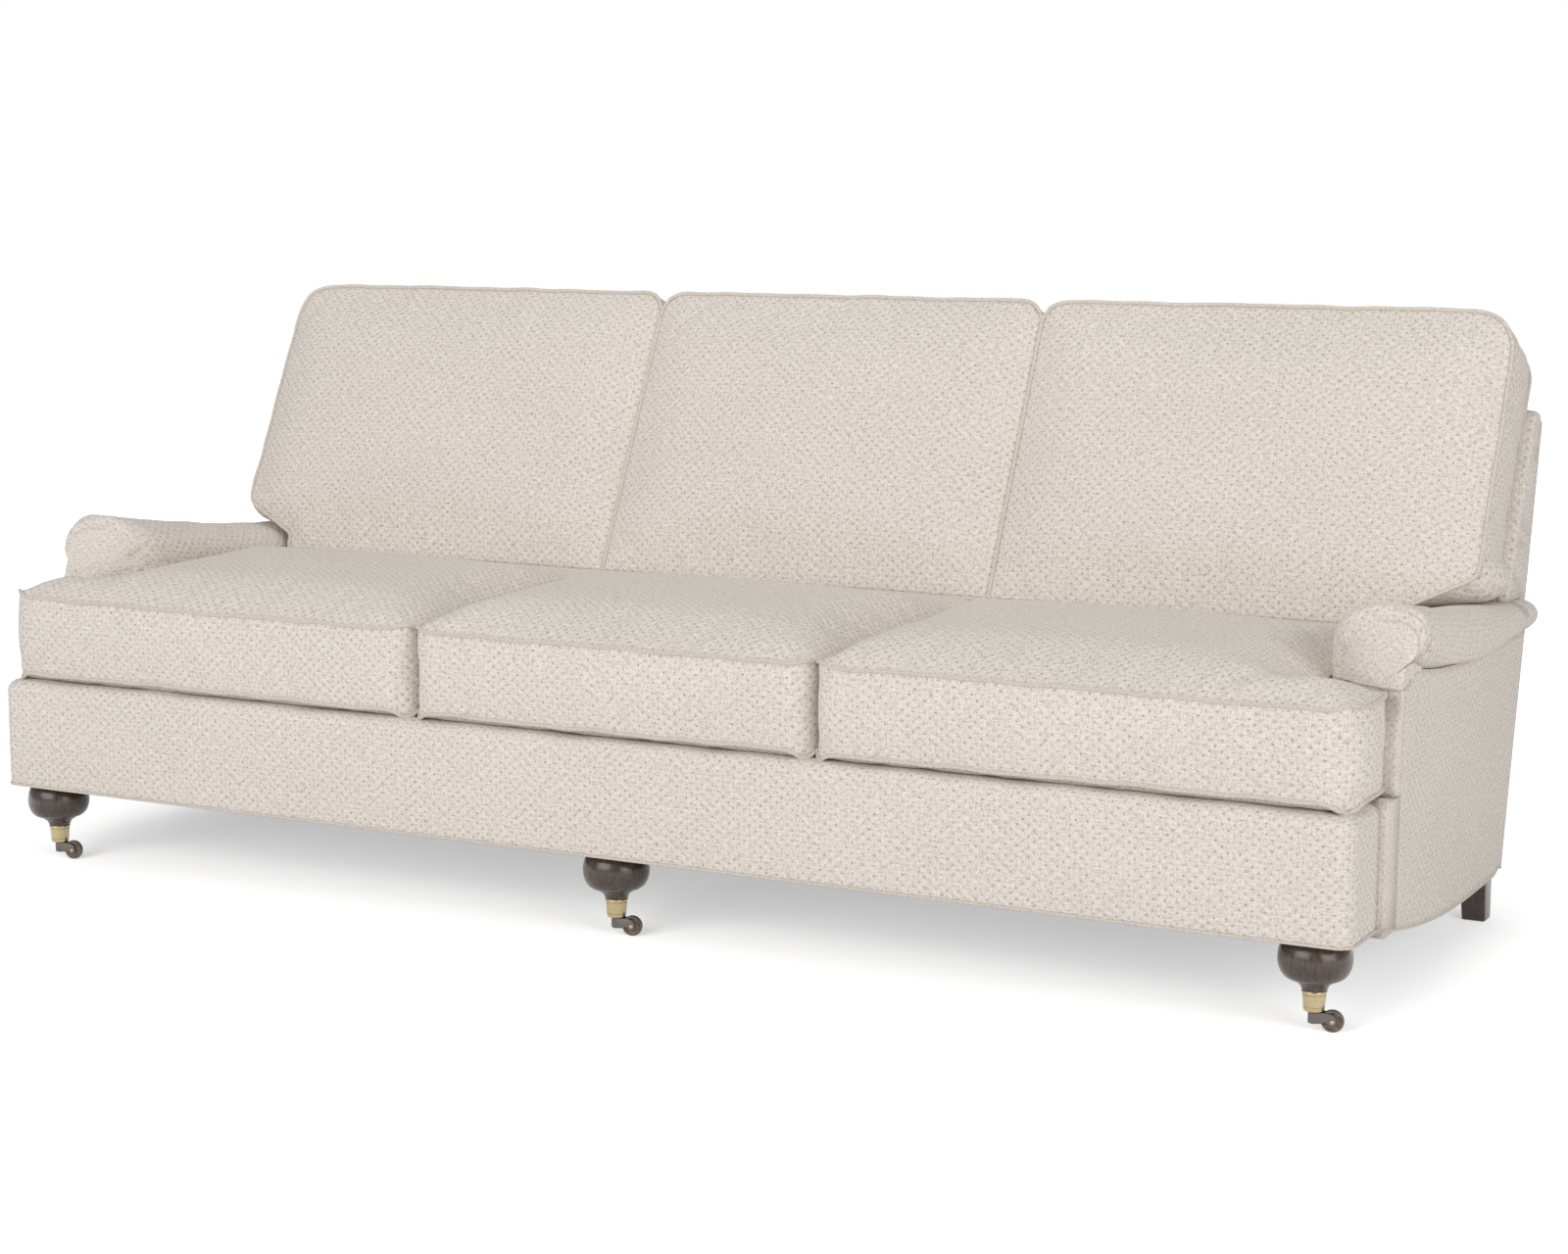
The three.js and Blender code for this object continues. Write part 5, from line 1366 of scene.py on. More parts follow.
@dataclass
class Deck:
    """Padded deck under the seat cushions, with the black cambric stapled below it."""

    lap: float = 60.3
    cover_front: float = 117.0
    cover_rear: float = 758.0
    cover_half: float = 1196.0
    hem_lift: float = 1.2
    thickness: float = 1.5

    def build(self) -> None:
        """Makes the deck's pad."""
        half, inside = PLAN.border_half - self.lap, PLAN.inside_arm - CLEAR
        step, turn = PLAN.border_return + CLEAR, PLAN.pad_front - CLEAR
        rear = PLAN.face_at(PLAN.border_top) + 24 + 5 - CLEAR
        right = [(half, self.lap, 1), (half, step, 1), (self.cover_half, step, 1), (self.cover_half, turn, 1),
                 (inside, turn, 1), (inside, rear, 1)]
        corners = [*right, *[(-x, y, r) for x, y, r in reversed(right)]]
        loop, _ = outline(corners, 24)
        inner, faces, gaps, _ = filling(loop, 24)
        spots = np.vstack([loop, inner])
        skin = Skin()
        for z, flip in ((PLAN.border_top, False), (PLAN.deck_foot, True)):
            start = len(skin.spots)
            lift = np.concatenate([np.full(len(loop), -1.2), np.zeros(len(inner))]) if not flip else 0
            skin.spots.extend(map(tuple, np.column_stack([spots, np.full(len(spots), z) + lift])))
            for face in faces:
                ordered = face[::-1] if flip else face
                skin.faces.append([start + i for i in ordered])
                skin.flats.append([tuple(spots[i]) for i in ordered])
        ring = np.vstack([loop, loop[:1]])
        band = np.array([np.column_stack([ring, np.full(len(ring), z)])
                         for z in (PLAN.deck_foot, PLAN.border_top - 1.2)])
        run = run_along(ring)
        skin.patch(band, np.stack(np.meshgrid(run, [0, 20]), axis=-1))
        deck = settle(skin.make("deck_cover", FABRIC), "woven_fabric", "deck_pad")

    def build_cambric(self) -> None:
        """Makes the stretched sheet of cambric and its staples."""
        columns, rows = 60, 24
        grid = np.zeros((rows + 1, columns + 1, 3))
        for r in range(rows + 1):
            y = mix(self.cover_front, self.cover_rear, r / rows)
            for c in range(columns + 1):
                x = mix(-self.cover_half, self.cover_half, c / columns)
                slack = 0.6 * ripple(c / columns, r * 0.2, (3, 7)) * math.sin(math.pi * c / columns)
                grid[r, c] = (x, y, PLAN.hem_at(y) + self.hem_lift + self.thickness / 2 + slack * 0.5)
        run = run_along(grid[:, 0])
        flat = np.stack(np.meshgrid(grid[0, :, 0], run), axis=-1)
        skin = Skin()
        skin.patch(grid, flat)
        sheet = skin.make("cambric_sheet", CAMBRIC)
        wall = sheet.modifiers.new("wall", "SOLIDIFY")
        wall.thickness, wall.offset = 0.0008, 0.0
        settle(sheet, "dust_cloth", "dust_cover")
        inset = 8.0
        lines = []
        for sign in (-1, 1):
            places = np.linspace(self.cover_front + 10, self.cover_rear - 10, 40)
            lines.append([(sign * (self.cover_half - inset), y, PLAN.hem_at(y) + self.hem_lift) for y in places])
        settle(Staples().drive("cambric_staples", [to_frame(line) for line in lines]), "dust_cloth")


@dataclass(frozen=True)
class Staples:
    """Row of wire staples along an edge."""

    spacing: float = 38.0
    width: float = 11.0
    wire: float = 0.6

    def tree(self) -> bpy.types.NodeTree:
        """Node tree of the staples, made once.

        Returns:
            A tree with the inputs Spacing, Width, Wire and Finish.
        """
        found = bpy.data.node_groups.get("staples_along_edge")
        if found:
            return found
        made = bpy.data.node_groups.new("staples_along_edge", "GeometryNodeTree")
        face = made.interface
        face.new_socket("Edge", in_out="INPUT", socket_type="NodeSocketGeometry")
        for label, value in (("Spacing", 0.038), ("Width", 0.011), ("Wire", 0.0006)):
            face.new_socket(label, in_out="INPUT", socket_type="NodeSocketFloat").default_value = value
        face.new_socket("Finish", in_out="INPUT", socket_type="NodeSocketMaterial")
        face.new_socket("Staples", in_out="OUTPUT", socket_type="NodeSocketGeometry")
        given = add(made, "NodeGroupInput").outputs
        line = add(made, "GeometryNodeMeshToCurve", {"Mesh": given["Edge"]}).outputs[0]
        spots = add(made, "GeometryNodeCurveToPoints", {"Curve": line, "Length": given["Spacing"]}, mode="LENGTH")
        crown = add(made, "ShaderNodeCombineXYZ", {"X": given["Wire"], "Y": given["Width"], "Z": given["Wire"]})
        bar = add(made, "GeometryNodeMeshCube", {"Size": crown.outputs[0]})
        sway = add(made, "FunctionNodeRandomValue", {"Min": -0.12, "Max": 0.12, "Seed": 5}, data_type="FLOAT")
        turn = add(made, "ShaderNodeCombineXYZ", {"Z": sway.outputs[1]})
        copies = add(made, "GeometryNodeInstanceOnPoints", {
            "Points": spots.outputs[0], "Instance": bar.outputs[0], "Rotation": turn.outputs[0]})
        real = add(made, "GeometryNodeRealizeInstances", {"Geometry": copies.outputs[0]}).outputs[0]
        done = add(made, "GeometryNodeSetMaterial", {"Geometry": real, "Material": given["Finish"]}).outputs[0]
        add(made, "NodeGroupOutput", {"Staples": done})
        return made

    def drive(self, name: str, lines: Sequence[np.ndarray]) -> bpy.types.Object:
        """Makes the staples along lines of points in metres."""
        mesh = bpy.data.meshes.new(name)
        spots: list[list[float]] = []
        edges: list[tuple[int, int]] = []
        for line in lines:
            start = len(spots)
            spots.extend(line.tolist())
            edges.extend((start + i, start + i + 1) for i in range(len(line) - 1))
        mesh.from_pydata(spots, edges, [])
        return grown(mesh, name, self.tree(), {
            "Spacing": self.spacing / 1000, "Width": self.width / 1000, "Wire": self.wire / 1000}, STEEL)


@dataclass
class RollArm:
    """Low roll arm that slopes to the rear, with its front end, facing and outside panel."""

    side: Side
    nose: float = 18.0
    shoulder_drop: float = 28.0
    shoulder_reach: float = 123.0
    board_half: float = 9.0
    post_outer: float = 1212.0
    cap_inside: float = 1125.0
    recess: float = 76.0
    band_share: float = 0.2
    pinch: float = 0.86
    facing_corner: float = 7.0
    panel_thickness: float = 6.0
    flare: float = 4.0
    belly: float = 14.0
    scoop: float = 9.0

    @property
    def pad_rear(self) -> float:
        """Place where the inside of the arm meets the fixed back."""
        return PLAN.face_at(PLAN.roll_at(PLAN.arm_rear).centre) + 24

    def section(self, y: float, inner: float, stub: float) -> np.ndarray:
        """Ring of the arm's cover at a place along its run.

        Args:
            y: Place along the run.
            inner: Place of the inside face.
            stub: 0 for the full arm, and above 0 for the roll's end behind the fixed back, drawn in by that much.

        Returns:
            The ring's points.
        """
        roll = PLAN.roll_at(y)
        ring: list[Point] = []
        shoulder = roll.centre - self.shoulder_drop
        crest = min(PLAN.inside_arm + self.shoulder_reach, roll.axis)
        face = [(inner, mix(PLAN.deck_foot, shoulder, k / 8)) for k in range(9)]
        for k in range(1, 13):
            t = k / 12 * math.pi / 2
            face.append((mix(crest, inner, math.cos(t) ** 0.7), mix(shoulder, roll.top, math.sin(t) ** 0.7)))
        turns = [k / 22 * 1.82 for k in range(1, 23)]
        if stub > 0:
            draw = stub - 1
            low = self.post_outer + CLEAR
            ring += [(low, mix(roll.centre, roll.top - draw, k / 20)) for k in range(21)]
            ring += [(mix(low, roll.outer - draw, math.sin(s * math.pi / 2)),
                      roll.centre + (roll.half - draw) * math.cos(s * math.pi / 2)) for s in turns]
            ring += [(low, mix(roll.under + draw, roll.centre, k / 4)) for k in range(4)]
        else:
            ring += face
            # The filling sags, so the roll hangs lower on its outer side half way along
            run_back = clamp((y - PLAN.pad_front) / (self.pad_rear - PLAN.pad_front))
            sag = self.belly * math.sin(math.pi * run_back) ** 1.5
            ring += [(roll.axis + roll.reach * math.sin(s * math.pi / 2),
                      roll.centre + roll.half * math.cos(s * math.pi / 2)
                      - sag * max(math.sin((s - 0.8) / 0.9 * math.pi), 0) * (0.8 < s < 1.7)) for s in turns]
            hollow, outer = PLAN.inside_arm + 25, PLAN.arm_outside - self.panel_thickness + 5.3
            over = roll.centre + self.board_half + CLEAR
            ring += [(outer + CLEAR, roll.under + 2), (outer, over), (hollow, over), (hollow, PLAN.deck_foot)]
        return np.array([(x, y, z) for x, z in ring])

    def mirrored(self, line: np.ndarray) -> tuple[np.ndarray, bool]:
        """Takes a line drawn for the right arm to this arm.

        Args:
            line: Its points in maker's millimetres.

        Returns:
            The line in the shared frame, and that it is open.
        """
        placed = line.copy()
        placed[:, 0] *= self.side.value
        return to_frame(placed), False

    def build_cover(self) -> None:
        """Makes the cover of the arm's inside, top and roll, closed at its rounded rear end."""
        rings = []
        for share in (0, 0.006, 0.014, 0.025, 0.04, 0.06, 0.085, *[0.12 + 0.055 * k for k in range(17)]):
            y = mix(PLAN.pad_front, self.pad_rear, min(share, 1))
            draw = self.nose * (1 - clamp((y - PLAN.pad_front) / 46)) ** 2
            rings.append(self.section(y, PLAN.inside_arm + draw, 0))
        stub_start = self.pad_rear + CLEAR
        end = PLAN.arm_rear
        for share, draw in ((0, 0), (0.3, 0), (0.55, 0), (0.72, 0.6), (0.84, 2.2),
                            (0.92, 4.6), (0.97, 8.0), (1, 13.0)):
            ring = self.section(mix(stub_start, end + 6, share), 0, 1 + draw)
            ring[:, 1] += share * (ring[:, 2] - PLAN.roll_at(end).under) * math.tan(PLAN.rear_lean)
            rings.append(ring)
        for k, ring in enumerate(rings[2:-8]):
            # The cloth is pulled over soft filling, so the roll is not quite even along its run
            wave = 1.1 * ripple(k / 14, self.side.value, (1.3, 2.9, 4.7))
            ring[13:34, 2] += wave
        skin = Skin()
        along = [float(ring[0][1]) for ring in rings]
        skin.loft(rings, along)
        cover = skin.make(f"{self.side.word}_arm_cover", FABRIC, self.side)
        settle(cover, "woven_fabric", f"{self.side.word}_arm_pad", f"{self.side.word}_arm_roll_end")

    def nose_line(self, y: float) -> np.ndarray:
        """Outline of the roll's front end at a depth, from its inner foot over the top to its outer foot."""
        forward = clamp((PLAN.pad_front - y) / (PLAN.pad_front - PLAN.arm_front))
        inner = mix(PLAN.inside_arm + self.nose, self.cap_inside, forward)
        roll = PLAN.roll_at(y)
        ring = self.section(y, inner, 0)[:43, [0, 2]]
        above = ring[(ring[:, 1] > PLAN.cap_foot + 3) & ((ring[:, 0] < roll.axis) | (ring[:, 1] > roll.under + 2))]
        foot = [(inner, PLAN.cap_foot)]
        outer = [(PLAN.arm_outside + 9, max(roll.under + 4, PLAN.cap_foot + 10)),
                 (PLAN.arm_outside + 2, mix(PLAN.cap_foot, roll.under, 0.45)), (PLAN.arm_outside + 1, PLAN.cap_foot)]
        return mapped(np.array([*foot, *above.tolist(), *outer]), 96)

    def nose_depth(self, x: float, z: float) -> float:
        """Depth of the nose's face at a place: it leans back upwards and recedes inwards."""
        roll = PLAN.roll_at(PLAN.arm_front)
        low = clamp((roll.top - z) / (roll.top - PLAN.cap_foot))
        out = clamp((x - self.cap_inside) / (roll.outer - self.cap_inside))
        return PLAN.arm_front + 4 + self.recess * (1 - low * math.sqrt(out))

    def build_front(self) -> None:
        """Makes the roll's front end: the cover drawn round a smooth nose panel, pleated at the pinch."""
        focus = np.array([1196.0, PLAN.cap_foot])
        line = self.nose_line(PLAN.pad_front)
        turns = [k / 11 * math.pi / 2 for k in range(12)]
        inward = [0.3, 0.42, 0.56, 0.7, 0.84, 0.95, 0.99]
        grid = np.zeros((len(turns) + 2 + len(inward), len(line), 3))
        for i, (x, z) in enumerate(line):
            place = i / (len(line) - 1)
            near = math.exp(-((place - self.pinch) / 0.09) ** 2)
            end = self.nose_line(self.nose_depth(x, z))[i]
            drawn = self.band_share * smooth(place / 0.2) * (1 - 0.8 * smooth((place - self.pinch) / 0.1))
            seam = focus + (end - focus) * (1 - drawn)
            seam_depth = self.nose_depth(*seam)
            for r, turn in enumerate(turns):
                y = mix(PLAN.pad_front, seam_depth, math.sin(turn))
                spot = mix(self.nose_line(y)[i], end, r / 6) if r < 6 else end
                spot = focus + (spot - focus) * (1 - drawn * (1 - math.cos(turn)))
                fold = 1.2 * near * math.sin(2 * math.pi * place * 40) * math.sin(2 * turn)
                grid[r, i] = (spot[0], y + fold, spot[1])
            # The seam sinks in over the top and outer side, and fades out where the cover wraps the inner side
            sunk = smooth((place - 0.36) / 0.14) * smooth((0.97 - place) / 0.06)
            for r, share, deep in ((12, 0.012, 1.8), (13, 0.03, 0.2)):
                spot = mix(seam, focus, share)
                grid[r, i] = (spot[0], self.nose_depth(*spot) + deep * sunk, spot[1])
            for r, share in enumerate(inward, start=14):
                spot = seam + (focus - seam) * (share - 0.2) / 0.8
                full = 4.0 * math.sin(math.pi * clamp((share - 0.2) / 0.8)) * smooth((spot[1] - PLAN.cap_foot) / 20)
                grid[r, i] = (spot[0], self.nose_depth(*spot) - full, spot[1])
        # The cover sinks in where it is gathered under the roll
        places = np.linspace(0, 1, len(line))
        dent = np.exp(-((places - self.pinch) / 0.03) ** 2)
        for r in range(3, 16):
            grid[r, :, 1] += 2.0 * dent * math.sin(math.pi * (r - 2) / 15)
        back = grid[:1].copy()
        back[:, :, 1] = PLAN.pad_front + 2
        grid = np.concatenate([back, grid])
        split = 13
        flat = grid[:, :, [0, 2]].copy()
        run = run_along(line)
        reach = run_along(grid[:, 48])
        for r in range(split + 1):
            flat[r, :, 0], flat[r, :, 1] = run, -reach[r]
        name = f"{self.side.word}_arm_front"
        band = Skin()
        band.patch(grid[:split + 1], flat[:split + 1])
        piece = band.make(f"{name}_band", FABRIC, self.side)
        panel = Skin()
        panel.patch(grid[split:], grid[split:][:, :, [0, 2]])
        nose = panel.make(f"{name}_panel", TAUT, self.side)
        settle(piece, "woven_fabric", f"{self.side.word}_arm_cap")
        settle(nose, "woven_fabric")
        outer = grid[4, 44:86].copy()
        second = grid[7, 47:86].copy()
        crescent = grid[split, 42:88].copy()
        crescent[:, 1] -= 0.6
        steps = np.linspace(0, 1, 22)
        across = np.array([(mix(1150, PLAN.arm_outside - 2, k), 0, PLAN.cap_foot) for k in steps])
        across[:, 1] = [self.nose_depth(x, z) - 1.0 for x, _, z in across]
        for welt, word, rows in ((EDGE_WELT, "edge", (outer,)), (FINE_WELT, "seams", (second, crescent, across))):
            lines = []
            for points in rows:
                lines.append(self.mirrored(points))
            settle(welt.follow(f"{name}_{word}", lines, PIPING), "woven_fabric")

    def flared(self, z: float) -> float:
        """How far the arm's outside stands out at a level, at its front edge."""
        foot = PLAN.hem_at(PLAN.panel_front)
        return self.flare * clamp((z - foot) / (PLAN.roll_at(PLAN.panel_front).under - foot)) ** 2

    def build_facing(self) -> None:
        """Makes the facing below the roll's end, which turns the corner down to the hem."""
        inner, outer = 1196.0 + CLEAR, PLAN.arm_outside
        soft = self.facing_corner
        rear = PLAN.panel_front - CLEAR
        plan: list[Point] = [(mix(PLAN.inside_arm + CLEAR, outer - soft, k / 20), PLAN.facing_front)
                             for k in range(21)]
        for k in range(1, 11):
            t = k / 10 * math.pi / 2
            plan.append((outer - soft + soft * math.sin(t), PLAN.facing_front + soft * (1 - math.cos(t))))
        plan += [(outer, mix(PLAN.facing_front + soft, rear, k / 2)) for k in range(1, 3)]
        plan += [(inner, rear), (inner, PLAN.pad_front - CLEAR), (PLAN.inside_arm + CLEAR, PLAN.pad_front - CLEAR)]
        skin = Skin()
        rings = []
        foot, head = PLAN.border_top + CLEAR, PLAN.cap_foot - CLEAR
        levels = [foot, *[mix(foot, head, k / 18) for k in range(1, 18)], head]
        for level in levels:
            share = (level - levels[0]) / (levels[-1] - levels[0])
            blend = smooth((share - 0.5) / 0.45)
            ring = []
            for i, (x, y) in enumerate(plan):
                flare = self.flared(level) * smooth((y - 172) / 15) * (x > inner + 2)
                depth = y
                if i < 31:
                    depth += blend * max(self.nose_depth(x, PLAN.cap_foot) - y, 0)
                    depth -= 0.8 * math.sin(math.pi * share) * (1 if i < 21 else 1 - (i - 20) / 11)
                draw = 18.0 * blend * clamp(1 - (x - PLAN.inside_arm) / 60)
                ring.append((x + flare + draw, min(depth, PLAN.pad_front - CLEAR), level))
            rings.append(np.array(ring))
        skin.loft(rings, [level for level in levels])
        # The cloth rounds over where it meets the narrower facing beside the cushion
        ahead = lambda z: PLAN.border_return + CLEAR + 9 * clamp((z - 308) / 16) ** 2
        low_ring = lambda z: np.array([(inner, ahead(z), z), (outer - 3, ahead(z), z),
                                       (outer + self.flared(z) * 0.5, ahead(z) + 3, z),
                                       (outer + self.flared(z), PLAN.panel_front - CLEAR, z),
                                       (inner, PLAN.panel_front - CLEAR, z)])
        rows = [PLAN.hem_at(PLAN.panel_front) + 1.5, 180, 225, 262, 278, 292, 304, 315, PLAN.border_top + CLEAR]
        skin.loft([low_ring(z) for z in rows], rows)
        piece = skin.make(f"{self.side.word}_facing_cover", TAUT, self.side)
        settle(piece, "woven_fabric", f"{self.side.word}_arm_facing")

    def build_outside(self) -> None:
        """Makes the outside panel, lightly filled, with a scoop round the rear leg and welted edges."""
        columns, rows = 56, 30
        face = np.zeros((rows + 1, columns + 1, 3))
        for r in range(rows + 1):
            row = r / rows
            for c in range(columns + 1):
                column = c / columns
                rough = mix(PLAN.panel_front, PLAN.arm_rear, column)
                hem = PLAN.hem_at(rough) + 1 + self.scoop * math.exp(-((column - 0.955) / 0.028) ** 2)
                head = mix(PLAN.cap_foot + 1, PLAN.roll_at(rough).under + 0.5, smooth((rough - 200) / 50))
                z = mix(hem, head, row)
                y = mix(PLAN.panel_front, PLAN.rear_at(z) - 4, column)
                soft = 2.2 * math.sin(math.pi * column) ** 0.5 * math.sin(math.pi * row) ** 0.5
                soft -= 4.0 * clamp((column - 0.965) / 0.035) ** 2
                slack = (0.8 * ripple(column * 0.7 + row * 0.31, 4.0, (2, 5))
                         * math.sin(math.pi * column) * math.sin(math.pi * row))
                x = PLAN.arm_outside + self.flare * row * row * (1 - 0.8 * column) + soft + slack
                face[r, c] = (x, y, z)
        inner = face.copy()
        inner[:, :, 0] -= np.maximum(self.panel_thickness, inner[:, :, 0] - PLAN.arm_outside + 2)
        flat = face[:, :, 1:].copy()
        skin = Skin()
        skin.patch(face, flat)
        skin.patch(inner, flat, turned=True)
        for edge in (np.s_[0, :], np.s_[-1, :], np.s_[:, 0], np.s_[:, -1]):
            skin.patch(np.array([face[edge], inner[edge]]), np.array([flat[edge], flat[edge] + 6]))
        piece = skin.make(f"{self.side.word}_outside_panel", FABRIC, self.side)
        settle(piece, "woven_fabric", f"{self.side.word}_outside_arm_panel")
        lead = np.array([(PLAN.arm_outside, PLAN.border_return + 1, PLAN.hem_at(PLAN.border_return) + 2),
                         (PLAN.arm_outside, PLAN.panel_front - 4, PLAN.hem_at(PLAN.panel_front) + 1.6)])
        hem = np.vstack([lead, face[0] + (-1.2, 0, 0.6)])
        rear = face[:, -1] + (-1.6, 0.4, 0)
        front = face[2:, 0] + (-0.6, -0.4, 0)
        lines = []
        for points in (hem, rear):
            lines.append(self.mirrored(points))
        settle(EDGE_WELT.follow(f"{self.side.word}_outside_welts", lines, PIPING), "woven_fabric")
        settle(FINE_WELT.follow(f"{self.side.word}_outside_front_seam", [self.mirrored(front)], PIPING),
               "woven_fabric")

    def build(self) -> None:
        """Makes every piece of the arm."""
        self.build_cover()
        self.build_front()
        self.build_facing()
        self.build_outside()


@dataclass
class FixedBack:
    """Fixed back: a padded wedge with rounded ends, closed at the rear by a flat panel."""

    half: float = 1219.0
    shoulder: float = 527.0
    rest: float = 521.6
    rest_drop: float = 2.8
    pad: float = 24.0
    panel: float = 6.0
    roll: float = 20.0
    end_round: float = 16.0

    def ring(self, foot: float, heel_drop: float, draw: float, hollow: bool) -> np.ndarray:
        """Section of the padded wedge from a level up.

        Args:
            foot: Level of its lower edge.
            heel_drop: How far the lower edge comes down to the rear.
            draw: How far the section is drawn in at the rounded end.
            hollow: Whether it is open to the rear for the timber.

        Returns:
            Y and Z of the ring's points.
        """
        rear = lambda z: PLAN.rear_at(z) - self.panel
        top = PLAN.back_top - draw
        low = self.roll
        points: list[Point] = [(PLAN.face_at(mix(foot, top - low, k / 20)) + draw, mix(foot, top - low, k / 20))
                               for k in range(21)]
        knee, crest = (PLAN.face_at(top) + draw, top), (mix(PLAN.face_at(top), rear(top), 0.6), top)
        start = points[-1]
        for k in range(1, 9):
            t = k / 8
            points.append(bend(start, knee, crest, t))
        heel, last = (rear(top) - draw * 0.3, top), (rear(top - 12) - draw * 0.3, top - 12)
        for k in range(1, 9):
            t = k / 8
            points.append(bend(crest, heel, last, t))
        high = min(PLAN.back_top - self.roll + CLEAR, top - 12.5)
        if hollow:
            points += [(rear(high), high)]
            points += [(PLAN.face_at(mix(high, foot, k / 20)) + self.pad, mix(high, foot, k / 20)) for k in range(21)]
        else:
            points += [(rear(high) - draw * 0.3, high)]
            low_rear = foot - heel_drop
            points += [(rear(mix(high, low_rear, k / 20)) - draw * 0.3, mix(high, low_rear, k / 20))
                       for k in range(21)]
        return np.array(points)

    def build(self) -> None:
        """Makes the padded wedge with its rounded ends, and the pad below it between the arms."""
        skin = Skin()
        places: list[tuple[float, float, bool]] = []
        for k in range(7):
            t = k / 6 * math.pi / 2
            places.append((self.half - self.end_round * (1 - math.sin(t)),
                           self.end_round * 0.55 * (1 - math.cos(t)), False))
        places.append((self.half + 0.3, self.end_round * 0.55 + 5, False))
        ends = sorted(places, key=lambda place: -place[0])
        inner = self.half - self.end_round
        row = [(-x, d, h) for x, d, h in ends]
        row += [(-inner + 0.2, 0.0, True)]
        row += [(mix(-inner, inner, k / 60), 0.0, True) for k in range(1, 60)]
        row += [(inner - 0.2, 0.0, True)]
        row += [(x, d, h) for x, d, h in reversed(ends)]
        rings = []
        for x, draw, hollow in row:
            section = self.ring(self.rest, self.rest_drop, draw, hollow)
            slack = 0.8 * ripple(x / 2400, 3.1, (5, 11, 17))
            ring = np.column_stack([np.full(len(section), x), section])
            ring[15:30, 2] += slack * (0 if abs(x) > inner else 1)
            rings.append(ring)
        skin.loft(rings, [x for x, _, _ in row])
        between = PLAN.inside_arm - CLEAR
        low = []
        for k in range(31):
            x = mix(-between, between, k / 30)
            foot, head = PLAN.border_top + CLEAR, self.shoulder
            face = [(PLAN.face_at(mix(foot, head, j / 8)), mix(foot, head, j / 8)) for j in range(9)]
            rear = [(PLAN.face_at(mix(head, foot, j / 8)) + self.pad, mix(head, foot, j / 8)) for j in range(9)]
            low.append(np.array([(x, y, z) for y, z in face + rear]))
        skin.loft(low, [float(ring[0][0]) for ring in low])
        piece = skin.make("fixed_back_cover", FABRIC)
        settle(piece, "woven_fabric", "inside_back_pad")

    def build_panel(self) -> None:
        """Makes the outside back panel and the welt round it."""
        columns, rows = 70, 24
        top, foot = PLAN.back_top - self.roll, PLAN.hem_rear
        face = np.zeros((rows + 1, columns + 1, 3))
        for r in range(rows + 1):
            z = mix(foot, top, r / rows)
            for c in range(columns + 1):
                x = mix(-self.half, self.half, c / columns)
                soft = 1.6 * math.sin(math.pi * r / rows) ** 0.6 * math.sin(math.pi * c / columns) ** 0.6
                soft += 0.7 * ripple(c / columns + 0.3 * r / rows, 6.0, (3, 7)) * math.sin(math.pi * r / rows)
                face[r, c] = (x, PLAN.rear_at(z) - 0.6 + soft, z)
        inner = face.copy()
        for r in range(rows + 1):
            inner[r, :, 1] = PLAN.rear_at(face[r, 0, 2]) - self.panel + CLEAR
        flat = face[:, :, [0, 2]].copy()
        skin = Skin()
        skin.patch(face, flat, turned=True)
        skin.patch(inner, flat)
        for edge in (np.s_[0, :], np.s_[-1, :], np.s_[:, 0], np.s_[:, -1]):
            skin.patch(np.array([face[edge], inner[edge]]), np.array([flat[edge], flat[edge] + 6]))
        settle(skin.make("outside_back_cover", FABRIC), "woven_fabric", "outside_back_panel")
        line = np.vstack([face[:, 0], face[-1, 1:], face[::-1, -1][1:], face[0, ::-1][1:-1]])
        line[:, 1] -= 0.8
        middle = line.mean(axis=0)
        line[:, 0] -= np.sign(line[:, 0] - middle[0]) * 1.4
        settle(EDGE_WELT.follow("outside_back_welt", [(to_frame(line), True)], PIPING), "woven_fabric")


def lathe(profile: Sequence[Point], sides: int) -> Shell:
    """Turned solid about Z.

    Args:
        profile: Radius and level of each point, from one end of the axis to the other.
        sides: Number of sides.

    Returns:
        Points in millimetres and faces.
    """
    spots: list[Spot] = []
    rows: list[list[int]] = []
    for radius, z in profile:
        if radius < 1e-6:
            rows.append([len(spots)] * sides)
            spots.append((0.0, 0.0, z))
            continue
        rows.append(list(range(len(spots), len(spots) + sides)))
        spots.extend((radius * math.cos(2 * math.pi * k / sides), radius * math.sin(2 * math.pi * k / sides), z)
                     for k in range(sides))
    faces = []
    for low, high in zip(rows, rows[1:]):
        for k in range(sides):
            ring = [low[k], low[(k + 1) % sides], high[(k + 1) % sides], high[k]]
            unique = list(dict.fromkeys(ring))
            if len(unique) > 2:
                faces.append(unique)
    return np.array(spots), faces


def hard(name: str, parts: Sequence[Shell], finish: Finish, sharp: float = 32) -> bpy.types.Object:
    """Makes a hard piece from parts in maker's millimetres.

    Args:
        name: Name of the piece.
        parts: Points and faces of each part.
        finish: Finish of the piece.
        sharp: Angle past which an edge stays crisp.

    Returns:
        The new object.
    """
    spots: list[list[float]] = []
    faces: list[list[int]] = []
    for part, part_faces in parts:
        start = len(spots)
        spots.extend(part.tolist())
        faces.extend([start + i for i in face] for face in part_faces)
    mesh = bpy.data.meshes.new(name)
    mesh.from_pydata(to_frame(spots).tolist(), [], faces)
    work = bmesh.new()
    work.from_mesh(mesh)
    bmesh.ops.remove_doubles(work, verts=work.verts, dist=1e-6)
    bmesh.ops.recalc_face_normals(work, faces=work.faces)
    work.to_mesh(mesh)
    work.free()
    return dress(mesh, name, finish, sharp)


